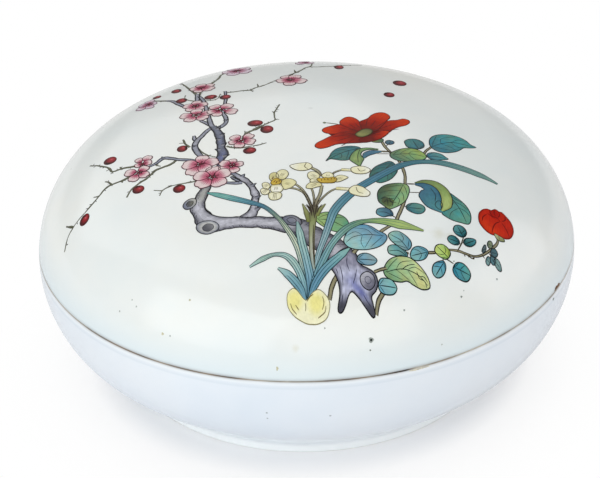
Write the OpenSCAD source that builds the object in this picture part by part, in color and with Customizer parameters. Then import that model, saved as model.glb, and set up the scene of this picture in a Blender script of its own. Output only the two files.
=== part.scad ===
// Round porcelain seal paste box: a domed lid over a bowl on a foot ring,
// with the cake of vermilion seal paste inside.
// The axis is Z, and the foot ring stands on z = 0.

/* [Outer form] */
// Widest diameter, at the belly of the bowl
body_d = 130; // [110:1:160]
// Height of the widest circle above the table
belly_h = 31.5; // [28:0.5:40]
// Radius of the wall's bulge, seen in section
belly_r = 26.5; // [20:0.5:28]
// Radius of the lid's flat crown, seen in section
crown_r = 185; // [120:5:400]

/* [Foot ring] */
// Outer diameter of the foot ring where it stands
foot_d = 88; // [70:1:96]
// Height of the foot ring below the bowl
foot_h = 3; // [2:0.1:5]
// Width of the ground band that the box stands on
foot_band = 3.6; // [2.5:0.1:6]
// Slope of the foot ring's two faces, as a run in millimetres
foot_draft = 0.5; // [0:0.1:1]
// Depth of the glazed recess inside the foot ring
recess_h = 3.4; // [2:0.1:5]

/* [Bowl] */
// Angle below the belly at which the bulge runs out into a straight cone
turn_angle = 55; // [40:1:65]
// Thickness of the bowl's floor
floor_t = 4.6; // [3:0.1:8]
// How far the floor's edge lies inside the foot ring's outer edge
floor_inset = 2; // [0:0.5:8]

/* [Seam and lip] */
// Height of the seam above the widest circle
seam_rise = 2; // [0:0.5:5]
// Height of the bowl's lip above the seam
lip_h = 4; // [2:0.5:7]
// Thickness of the lip
lip_t = 1.8; // [1.2:0.1:3]
// Gap between the lip and the lid around it
lid_fit = 0.5; // [0.3:0.1:1]
// Radius of the small rounding on the edges that meet at the seam
edge_r = 0.35; // [0.2:0.05:0.8]

/* [Lid] */
// Thickness of the lid's wall
lid_wall = 3; // [2:0.1:4.5]

/* [Seal paste] */
// Angle that the paste climbs up the bulge, above the cone
paste_climb = 8; // [4:1:20]
// Height of the paste's middle above the edge where it leaves the wall
paste_rise = 9; // [7:0.5:11]
// Radius of the paste's rounded shoulder
paste_edge_r = 4; // [2:0.5:5]
// Gap between the paste and the bowl's wall
paste_fit = 0.15; // [0.1:0.05:0.5]

/* [Smoothness] */
// Steps along the wall's bulge in a section
bulge_steps = 30; // [16:1:48]
// Steps along the crown in a section
crown_steps = 16; // [8:1:32]

/* [Hidden] */

glaze_white = [0.93, 0.95, 0.95];
paste_red = [0.72, 0.09, 0.05];

// The bulge of every wall shares one centre in the section, at (bulge_x, belly_h).
body_r = body_d / 2;
bulge_x = body_r - belly_r;
lid_in_r = belly_r - lid_wall;
lip_out_r = lid_in_r - lid_fit;
bowl_in_r = lip_out_r - lip_t;

seam_h = belly_h + seam_rise;
lip_top_h = seam_h + lip_h;

foot_r = foot_d / 2;
floor_h = recess_h + floor_t;
floor_r = foot_r - floor_inset;

// The crown's centre lies on the axis, and its arc runs on smoothly from the bulge.
crown_drop = sqrt(pow(crown_r - belly_r, 2) - pow(bulge_x, 2));
crown_z = belly_h - crown_drop;
crown_angle = atan2(crown_drop, bulge_x);

// Points on an arc about (cx, cz), from one angle to another.
function arc(cx, cz, r, from, to, steps) =
    [for (i = [0:steps]) let (a = from + (to - from) * i / steps)
        [cx + r * cos(a), cz + r * sin(a)]];

// Angle on a bulge of radius r at which it reaches the height z.
function rise_angle(r, z) = asin((z - belly_h) / r);

// Radius from the axis to a bulge of radius r at the height z.
function bulge_at(r, z) = bulge_x + r * cos(rise_angle(r, z));

// Bulge and crown of one face of the lid, from the height z up to the axis.
function dome(wall, z) = concat(
    arc(bulge_x, belly_h, belly_r - wall,
        rise_angle(belly_r - wall, z), crown_angle, bulge_steps),
    arc(0, crown_z, crown_r - wall, crown_angle, 90, crown_steps)
);

// A list of points without each point that repeats the one before it.
function apart(points) =
    [for (i = [0:len(points) - 1]) if (i == 0 || norm(points[i] - points[i - 1]) > 0.001) points[i]];

module turned(points) {
    rotate_extrude($fn = 180) polygon(apart(points));
}

// Bowl, foot ring and lip are one piece of porcelain.
module base() {
    rim_r = bulge_at(belly_r, seam_h);
    foot_in_r = foot_r - foot_band;
    color(glaze_white) turned(concat(
        [
            [0, recess_h],
            [foot_in_r - foot_draft, recess_h],
            [foot_in_r, 0],
            [foot_r, 0],
            [foot_r + foot_draft, foot_h]
        ],
        arc(bulge_x, belly_h, belly_r,
            -turn_angle, rise_angle(belly_r, seam_h - edge_r), bulge_steps),
        [
            [rim_r - edge_r, seam_h],
            [bulge_at(lip_out_r, seam_h), seam_h]
        ],
        arc(bulge_x, belly_h, lip_out_r,
            rise_angle(lip_out_r, seam_h), rise_angle(lip_out_r, lip_top_h - edge_r), 4),
        [
            [bulge_at(lip_out_r, lip_top_h) - edge_r, lip_top_h],
            [bulge_at(bowl_in_r, lip_top_h) + edge_r, lip_top_h]
        ],
        arc(bulge_x, belly_h, bowl_in_r,
            rise_angle(bowl_in_r, lip_top_h - edge_r), -turn_angle, bulge_steps),
        [
            [floor_r, floor_h],
            [0, floor_h]
        ]
    ));
}

// The paste lies on the floor and fills the bowl to its rounded shoulder.
module seal_paste() {
    side_r = bowl_in_r - paste_fit;
    side_angle = paste_climb - turn_angle;
    shoulder_x = bulge_x + side_r * cos(side_angle) - paste_edge_r;
    shoulder_z = belly_h + side_r * sin(side_angle);
    // The top's arc has its centre on the axis and runs on smoothly from the shoulder.
    top_r = (pow(shoulder_x, 2) + pow(paste_rise, 2) - pow(paste_edge_r, 2))
        / (2 * (paste_rise - paste_edge_r));
    top_z = shoulder_z + paste_rise - top_r;
    meet_angle = atan2(shoulder_z - top_z, shoulder_x);
    color(paste_red) turned(concat(
        [
            [0, floor_h],
            [floor_r - paste_fit, floor_h]
        ],
        arc(bulge_x, belly_h, side_r, -turn_angle, side_angle, 6),
        arc(shoulder_x, shoulder_z, paste_edge_r, 0, meet_angle, 8),
        arc(0, top_z, top_r, meet_angle, 90, crown_steps)
    ));
}

// The lid's rim sits on the bowl's ledge, around the lip.
module lid() {
    outer = dome(0, seam_h + edge_r);
    inner = dome(lid_wall, seam_h + edge_r);
    color(glaze_white) turned(concat(
        [
            [bulge_at(lid_in_r, seam_h) + edge_r, seam_h],
            [bulge_at(belly_r, seam_h) - edge_r, seam_h]
        ],
        outer,
        [for (i = [len(inner) - 1:-1:0]) inner[i]]
    ));
}

base();
seal_paste();
lid();
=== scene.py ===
# Dresses the seal paste box: glazed porcelain, overglaze enamel painting and the paste inside.
# Lengths are in millimetres until a mesh is made, and the painting is laid out as seen from above.
import math
import random

import bpy
import numpy as np
from mathutils import Matrix, Vector, noise


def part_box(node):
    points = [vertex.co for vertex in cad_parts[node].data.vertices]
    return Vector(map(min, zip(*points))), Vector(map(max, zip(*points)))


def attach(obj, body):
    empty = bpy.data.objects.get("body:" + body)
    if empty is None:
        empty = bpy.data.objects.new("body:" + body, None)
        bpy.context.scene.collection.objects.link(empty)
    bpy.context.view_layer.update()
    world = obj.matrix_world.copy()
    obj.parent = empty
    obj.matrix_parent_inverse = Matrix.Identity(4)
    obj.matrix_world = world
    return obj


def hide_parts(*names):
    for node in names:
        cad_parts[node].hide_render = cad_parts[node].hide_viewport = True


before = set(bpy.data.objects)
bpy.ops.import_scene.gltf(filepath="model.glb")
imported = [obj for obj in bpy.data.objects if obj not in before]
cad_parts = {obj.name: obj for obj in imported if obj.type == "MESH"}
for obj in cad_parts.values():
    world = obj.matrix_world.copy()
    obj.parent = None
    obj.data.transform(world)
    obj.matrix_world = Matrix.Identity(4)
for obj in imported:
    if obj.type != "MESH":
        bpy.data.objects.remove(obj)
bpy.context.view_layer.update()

MM = 0.001

# The same named values as in the part's source
BODY_R = 65.0
BELLY_H = 31.5
BELLY_R = 26.5
CROWN_R = 185.0
BULGE_X = BODY_R - BELLY_R
LID_WALL = 3.0
SEAM_H = 33.5
LIP_OUT_R = 23.0
BOWL_IN_R = 21.2
LIP_TOP_H = 37.5
FOOT_R = 44.0
FOOT_BAND = 3.6
FOOT_DRAFT = 0.5
FOOT_H = 3.0
RECESS_H = 3.4
FLOOR_H = 8.0
FLOOR_R = 42.0
TURN_ANGLE = 55.0
CROWN_DROP = math.sqrt((CROWN_R - BELLY_R) ** 2 - BULGE_X ** 2)
CROWN_Z = BELLY_H - CROWN_DROP
CROWN_ANGLE = math.atan2(CROWN_DROP, BULGE_X)
CROWN_EDGE = CROWN_R * math.cos(CROWN_ANGLE)

# The glaze lies this far inside the solid's face, so that the enamel on it stays inside the solid
SKIN = 0.05
ENAMEL_LIFT = 0.012
ENAMEL_STEP = 0.01
ENAMEL_SUNK = 0.03

# Colours as they look in daylight, 0 to 255
INK = (26, 24, 28)
LEAF_INK = (18, 30, 32)
PETAL_INK = (84, 34, 48)
FLOWER_INK = (92, 82, 44)
RED_INK = (62, 12, 10)
DEEP_TEAL = (34, 96, 104)
DEEP_BLUE = (36, 84, 116)
DEEP_GREEN = (60, 100, 66)
OLIVE = (116, 120, 58)
TWIG = (112, 114, 84)
SLATE = (112, 118, 138)
DEEP_SLATE = (46, 46, 58)
MAUVE = (194, 194, 205)
VIOLET = (98, 106, 176)
ASH = (148, 148, 158)
RED = (170, 34, 8)
ORANGE = (205, 58, 12)
CRIMSON = (112, 24, 16)
BUD_RED = (142, 14, 24)
BUD_DARK = (72, 8, 14)
ROSE = (206, 112, 136)
DEEP_ROSE = (146, 34, 70)
BLUSH = (229, 208, 208)
CREAM = (242, 240, 214)
YELLOW = (240, 232, 150)

# Width of a leaf's outline. The ribs and veins are drawn with a share of it
LEAF_LINE = 0.22
# How many stamens a blossom has
STAMENS = 7


def mix(a, b, t):
    """Colours between a and b. t is one share, or a share for each point."""
    t = np.clip(np.asarray(t, float), 0, 1)[..., None]
    return np.asarray(a, float) * (1 - t) + np.asarray(b, float) * t


def smooth(t):
    """Runs from 0 to 1 with a gentle start and end."""
    t = np.clip(t, 0, 1)
    return t * t * (3 - 2 * t)


def unit(v):
    """Vectors brought to a length of 1."""
    return v / (np.linalg.norm(v, axis=-1, keepdims=True) + 1e-9)


def left_of(v):
    """Vectors of the plan after a quarter turn to the left."""
    return np.stack([-v[..., 1], v[..., 0]], axis=-1)


def run_of(path):
    """How far along a path each of its points lies."""
    return np.concatenate([[0], np.cumsum(np.linalg.norm(np.diff(path, axis=0), axis=1))])


def spread_along(path, values, count):
    """Values given at a path's points, at even steps along it."""
    run = run_of(path)
    return np.interp(np.linspace(0, 1, count), run / run[-1], values)


def oval(middle, rx, ry, count):
    """Points around an upright oval."""
    turns = np.linspace(0, 2 * math.pi, count, endpoint=False)
    return np.array(middle) + np.stack([rx * np.cos(turns), ry * np.sin(turns)], axis=1)


def spline(points, spacing=0.45, closed=False):
    """Evenly spaced points on a smooth curve through the given points."""
    p = np.asarray(points, float)
    count = len(p)
    out = []
    for i in range(count if closed else count - 1):
        b, c = p[i], p[(i + 1) % count]
        a = p[i - 1] if closed or i else 2 * b - c
        d = p[(i + 2) % count] if closed or i + 2 < count else 2 * c - b
        t = np.linspace(0, 1, max(2, int(math.dist(b, c) * 4)), endpoint=False)[:, None]
        bend = 2 * a - 5 * b + 4 * c - d
        out.append(0.5 * (2 * b + (c - a) * t + bend * t ** 2 + (3 * b - a - 3 * c + d) * t ** 3))
    out.append(p[:1] if closed else p[-1:])
    dense = np.concatenate(out)
    run = run_of(dense)
    number = max(8 if closed else 3, int(round(run[-1] / spacing)) + 1)
    at = np.linspace(0, run[-1], number + closed)[:number]
    return np.stack([np.interp(at, run, dense[:, k]) for k in (0, 1)], axis=1)


class Painting:
    """Collects shells of enamel, in millimetres seen from above the lid."""

    def __init__(self):
        self.shells = []
        self.random = random.Random(7)

    def shell(self, coat, points, faces, rim, colors, brush, level):
        """Keeps one shell. Its rim is a ring of its points, or None for a closed line's two rings."""
        colors = np.broadcast_to(np.asarray(colors, float), (len(points), 3))
        self.shells.append((coat, points, faces, rim, colors, brush, level))

    def fill(self, coat, outline, level, shade, axis=None, outlined=None, width=0.2, grid=0.6):
        """A rounded area, filled from its middle out. shade(points, share) gives its colours."""
        ring = spline(outline, grid, closed=True)
        middle = ring.mean(0)
        rings = max(2, int(math.ceil(np.linalg.norm(ring - middle, axis=1).max() / grid)))
        count = len(ring)
        shares = [(k + 1) / rings for k in range(rings)]
        shares.insert(-1, 1 - 0.25 / rings)
        points = np.concatenate([middle[None]] + [middle + (ring - middle) * s for s in shares])
        faces = [(0, 1 + j, 1 + (j + 1) % count) for j in range(count)]
        for a in range(1, len(points) - count, count):
            for j in range(count):
                n = (j + 1) % count
                faces.append((a + j, a + count + j, a + count + n, a + n))
        rim = list(range(len(points) - count, len(points)))
        turn = unit(np.array(axis if axis is not None else (1, 0), float))
        brush = np.stack([points @ turn, points @ left_of(turn)], axis=1)
        colors = shade(points, np.concatenate([[0], np.repeat(shares, count)]))
        self.shell(coat, points, faces, rim, colors, brush, level)
        if outlined is not None:
            self.loop(outline, outlined, width, level + 0.5)

    def band(self, coat, path, widths, level, shade, outlined=None, width=0.2, columns=4, wobble=0.0):
        """A long area about a path. shade(along, across, points) gives its colours."""
        line = spline(path)
        count = len(line)
        at = np.linspace(0, 1, count)
        wide = spread_along(path, widths, count) / 2
        side = left_of(unit(np.gradient(line, axis=0)))
        swell = np.zeros((count, 2))
        if wobble:
            knots = [[self.random.uniform(-1, 1) for _ in (0, 1)] for _ in range(count // 3 + 2)]
            knots = np.array(knots)
            steps = np.linspace(0, len(knots) - 1, count)
            for k in (0, 1):
                swell[:, k] = wobble * np.interp(steps, range(len(knots)), knots[:, k])
            swell *= np.minimum(1, 8 * np.minimum(at, 1 - at))[:, None]
        across = np.linspace(-1, 1, columns + 1)
        share = (across + 1) / 2
        push = swell[:, :1] * (share - 1) + swell[:, 1:] * share
        away = (wide[:, None] * across + push)[..., None]
        points = (line[:, None] + side[:, None] * away).reshape(-1, 2)
        n = columns + 1
        corners = [i * n + j for i in range(count - 1) for j in range(columns)]
        faces = [(k, k + n, k + n + 1, k + 1) for k in corners]
        rim = [i * n for i in range(count)] + [(count - 1) * n + j for j in range(1, n)]
        rim += [i * n + columns for i in range(count - 2, -1, -1)] + list(range(columns - 1, 0, -1))
        u, v = np.repeat(at, n), np.tile(across, count)
        brush = np.stack([u * run_of(line)[-1], v * wide.mean()], axis=1)
        self.shell(coat, points, faces, rim, shade(u, v, points), brush, level)
        if outlined is not None:
            self.lines((points[::n], points[columns::n]), outlined, width, level + 0.5)

    def line(self, path, color, width=0.2, level=9, taper=0.35):
        """A brush line that narrows towards its ends."""
        line = spline(path)
        count = len(line)
        wide = width / 2 * (1 - taper * np.abs(np.linspace(-1, 1, count)) ** 3)
        side = left_of(unit(np.gradient(line, axis=0))) * wide[:, None]
        points = np.stack([line - side, line + side], axis=1).reshape(-1, 2)
        faces = [(i, i + 2, i + 3, i + 1) for i in range(0, 2 * count - 2, 2)]
        rim = list(range(0, 2 * count, 2)) + list(range(2 * count - 1, 0, -2))
        self.shell("ink_lines", points, faces, rim, color, points, level)

    def lines(self, paths, *look):
        """Lines of one look."""
        for path in paths:
            self.line(path, *look)

    def loop(self, outline, color, width=0.2, level=9):
        """A brush line that closes on itself."""
        ring = spline(outline, closed=True)
        count = len(ring)
        out = left_of(unit(np.roll(ring, 1, 0) - np.roll(ring, -1, 0))) * width / 2
        points = np.concatenate([ring - out, ring + out])
        faces = [(j, count + j, count + (j + 1) % count, (j + 1) % count) for j in range(count)]
        self.shell("ink_lines", points, faces, None, color, points, level)

    def dot(self, at, radius, color, level, coat="ink_lines"):
        """A small round touch of the brush."""
        points = np.concatenate([[at], oval(at, radius, radius, 8)])
        faces = [(0, 1 + j, 1 + (j + 1) % 8) for j in range(8)]
        self.shell(coat, points, faces, list(range(1, 9)), color, points, level)


def fade(start, end, from_color, to_color, rim=None, rim_from=0.7):
    """Colours that run from one place to another, with a darker or paler rim."""
    a, d = np.array(start, float), np.subtract(end, start)

    def shade(points, share):
        color = mix(from_color, to_color, smooth((points - a) @ d / (d @ d)))
        if rim is None:
            return color
        return mix(color, rim, 0.8 * smooth((share - rim_from) / (1 - rim_from)))
    return shade


def along_fade(colors, edge=None, strength=0.6):
    """Colours that follow a band from its start to its end, with its two edges in another."""
    colors = np.asarray(colors, float)
    stops = np.linspace(0, 1, len(colors))

    def shade(u, v, points):
        color = np.stack([np.interp(u, stops, colors[:, k]) for k in range(3)], axis=1)
        return color if edge is None else mix(color, edge, strength * smooth(np.abs(v) ** 1.5))
    return shade


def tone(points, size=1.0, amount=10.0):
    """Uneven tone of a wash, a little lighter or darker from place to place."""
    x, y = points.T / size
    wave = np.sin(1.7 * x + 0.9 * y) * np.sin(1.1 * y - 2.3 * x + 1)
    return amount * (wave + 0.6 * np.sin(3.9 * x + 1.3) * np.sin(4.3 * y))[:, None]


def hit(start, way, ring):
    """How far a ray runs before it meets the ring."""
    found = []
    for a, b in zip(ring, np.roll(ring, -1, 0)):
        e, r = b - a, a - start
        det = way[1] * e[0] - way[0] * e[1]
        if abs(det) > 1e-9:
            t = (r[1] * e[0] - r[0] * e[1]) / det
            s = (way[0] * r[1] - way[1] * r[0]) / det
            if t > 0.05 and 0 <= s <= 1:
                found.append(t)
    return min(found, default=0)


def leaf(art, outline, rib, colors, level, veins):
    """A leaf with its midrib and side veins. colors run from stalk to tip, or between two points."""
    start, end = rib[0], rib[-1]
    axis = np.subtract(end, start)
    across = left_of(axis) * 0.35
    wash = fade(*(colors[2:] or (start - across, end + across)), *colors[:2])

    def shade(points, share):
        edge = 8 * smooth((share - 0.55) / 0.45)[:, None]
        return wash(points, share) + tone(points, 2.3, 1.0) * np.array([-9, 3, 9]) - edge
    art.fill("camellia_leaves", outline, level, shade, axis, LEAF_INK, LEAF_LINE)
    art.line(rib, LEAF_INK, LEAF_LINE * 0.85, level + 0.5, 0.6)
    path = spline(rib, 0.3)
    ring = spline(outline, 0.5, closed=True)
    last = len(path) - 1
    for i in range(veins):
        start_at = 0.04 + 0.72 * i / veins
        for turn in (-1, 1):
            bends = [path[int(last * start_at)]]
            for further, reach in ((0.14, 0.5), (0.34, 0.9)):
                at = int(last * min(start_at + further, 0.97))
                way = turn * left_of(unit(path[min(at + 1, last)] - path[max(at - 1, 0)]))
                bends.append(path[at] + way * hit(path[at], way, ring) * reach)
            art.line(bends, LEAF_INK, LEAF_LINE * 0.6, level + 0.5, 0.7)


def petal(art, middle, heart, radius, level, colors, ink):
    """A prunus petal: round, deep rose at the heart of the flower and pale at its edge."""
    m, h = np.array(middle, float), np.array(heart, float)
    far = np.linalg.norm(m - h)
    way = unit(m - h)
    side = left_of(way)
    half = [(-1, 0), (-0.72, 0.6), (-0.1, 0.96), (0.55, 0.86), (0.95, 0.4), (0.86, 0)]
    shape = half + [(u, -v) for u, v in half[-2:0:-1]]
    size = radius * 0.95
    outline = [m + (way * u + side * v) * size * (1 + art.random.uniform(-0.07, 0.07)) for u, v in shape]

    def shade(points, share):
        t = ((points - h) @ way) / (far + radius)
        color = mix(colors[0], colors[1], smooth(t / 0.38))
        color = mix(color, colors[2], smooth((t - 0.34) / 0.34))
        return mix(color, colors[1], 0.2 * smooth((t - 0.84) / 0.16))
    art.fill("prunus_blossoms", outline, level, shade, way, ink, 0.21)
    for spread in (-0.62, -0.34, -0.08, 0.2, 0.5):
        start = h + way * far * 0.2
        end = m + way * radius * (0.4 - abs(spread) * 0.5) + side * radius * spread
        art.line([start, end], (166, 60, 92), 0.12, level + 0.5, 0.9)


def blossom(art, heart, petals, level, spread=1.2, far=False):
    """A prunus flower. Those at the far limb are painted paler, as painted sheen of glaze seen edge-on."""
    colors = ((168, 100, 136), (200, 150, 178), (222, 206, 218)) if far else (DEEP_ROSE, ROSE, BLUSH)
    for number, (x, y, r) in enumerate(petals):
        petal(art, (x, y), heart, r, level + number, colors, (128, 92, 112) if far else PETAL_INK)
    top = level + len(petals)
    for k in range(STAMENS):
        a = 2 * math.pi * (k + 0.3) / STAMENS
        end = (heart[0] + spread * math.cos(a), heart[1] + spread * math.sin(a))
        art.line([heart, end], RED_INK, 0.12, top, 0.3)
        art.dot(end, 0.16, RED_INK, top + 0.5)
    art.dot(heart, 0.42, (96, 30, 40), top + 0.5)


def bud(art, middle, rx, ry, stalk, level):
    """A closed red bud, with a lit middle and a dark cup where its stalk meets it."""
    m, s = np.array(middle, float), np.array(stalk, float)
    lit = m + (0.25 * rx, 0.2 * ry)

    def shade(points, share):
        near = np.linalg.norm((points - lit) / (rx, ry), axis=1)
        return mix(mix((204, 84, 92), BUD_RED, smooth(near / 0.5)), BUD_DARK, smooth((near - 0.6) / 0.5))
    art.fill("prunus_buds", oval(m, rx, ry, 10), level, shade, (0, 1), (78, 8, 14), 0.18)
    way = unit(s - m)
    side = left_of(way) * 0.55
    edge = m + way * (rx + ry) / 2 * 0.85
    art.line([edge - side - way * 0.5, edge, edge + side - way * 0.5], (44, 34, 30), 0.42, level + 1, 0.5)


def twig(art, path, width, end=None, level=1):
    """A thin twig with spurs, which narrows to half its width or to the width named end."""
    widths = np.linspace(width, end or width * 0.5, len(path))
    wash = along_fade([TWIG, TWIG], INK, 0.68)
    art.band("prunus_branches", path, widths, level, wash, columns=2, wobble=0.11)
    line = spline(path, 1.1)
    for k in range(1, len(line) - 1):
        if art.random.random() < 0.45:
            ahead = unit(line[k + 1] - line[k])
            side = left_of(ahead) * art.random.choice((-1, 1))
            tip = line[k] + side * (width * 0.5 + 0.3) + ahead * 0.25
            art.line([line[k] + side * width * 0.2, tip], INK, 0.2, level + 0.5, 0.8)


def bough(art, path, widths, level, colors, strength=0.9):
    """Old wood with strokes of bark along both edges. Thin boughs are paler."""
    wide = max(widths)
    if wide < 2:
        colors = mix(colors, (186, 188, 202), 0.45)
        strength = 0.35
    bend = along_fade(colors, DEEP_SLATE, strength)

    def shade(u, v, points):
        return bend(u, np.maximum(0, np.abs(v) - 0.12) / 0.88, points) + tone(points, 0.8)
    art.band("prunus_branches", path, widths, level, shade, INK, 0.28, 8, 0.06 + 0.035 * wide)
    line = spline(path, 0.7)
    stops = np.linspace(0, 1, len(widths))
    draw = art.random.uniform
    for k in range(1, len(line) - 1):
        ahead = unit(line[k + 1] - line[k - 1])
        side = left_of(ahead) * np.interp(k / len(line), stops, widths) / 2
        for turn in (-1, 1):
            if art.random.random() < 0.75:
                a = line[k] + side * turn * draw(0.78, 0.98)
                b = a - side * turn * draw(0.15, 0.4) + ahead * draw(0.3, 0.9)
                art.line([a, b], DEEP_SLATE, 0.16, level + 0.5, 0.9)
        if wide > 2.4 and art.random.random() < 0.3:
            a = line[k] + side * draw(-0.6, 0.6)
            art.line([a, a + ahead * draw(0.5, 1.1)], (92, 92, 108), 0.13, level + 0.5, 0.9)


def thorn(art, root, tip, width, level):
    """A thorn whose root lies inside the wood, outlined along its two sides."""
    a, b = np.array(root, float), np.array(tip, float)
    way = unit(b - a)
    side = left_of(way) * width / 2
    wash = along_fade([ASH, SLATE], DEEP_SLATE, 0.3)
    art.band("prunus_branches", [a - way * 0.4, b], [width, 0.12], level + 0.2, wash, columns=2)
    art.lines(([a + side, b], [a - side, b]), INK, 0.2, level + 1, 0.3)


def stem(art, path, width, level, line=0.22):
    """A camellia stem of even width. line is the width of its outline."""
    color, ink = (154, 148, 116), (40, 34, 26)
    wash = along_fade([color, color], ink, 0.3)
    art.band("camellia_stems", path, np.full(len(path), width), level, wash, ink, line, 2, 0.07)


def blade(art, path, widths, colors, level, edge=DEEP_TEAL):
    """A long narcissus leaf with two veins along it."""
    art.band("narcissus_leaves", path, widths, level, along_fade(colors, edge, 0.22), (34, 60, 68), 0.18)
    line = spline(path, 0.9)
    side = left_of(unit(np.gradient(line, axis=0))) * spread_along(path, widths, len(line))[:, None]
    for part, color in ((-0.2, edge), (0.18, (40, 84, 100))):
        art.line((line + side * part)[2:-3], color, 0.15, level + 0.5, 0.7)


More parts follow.
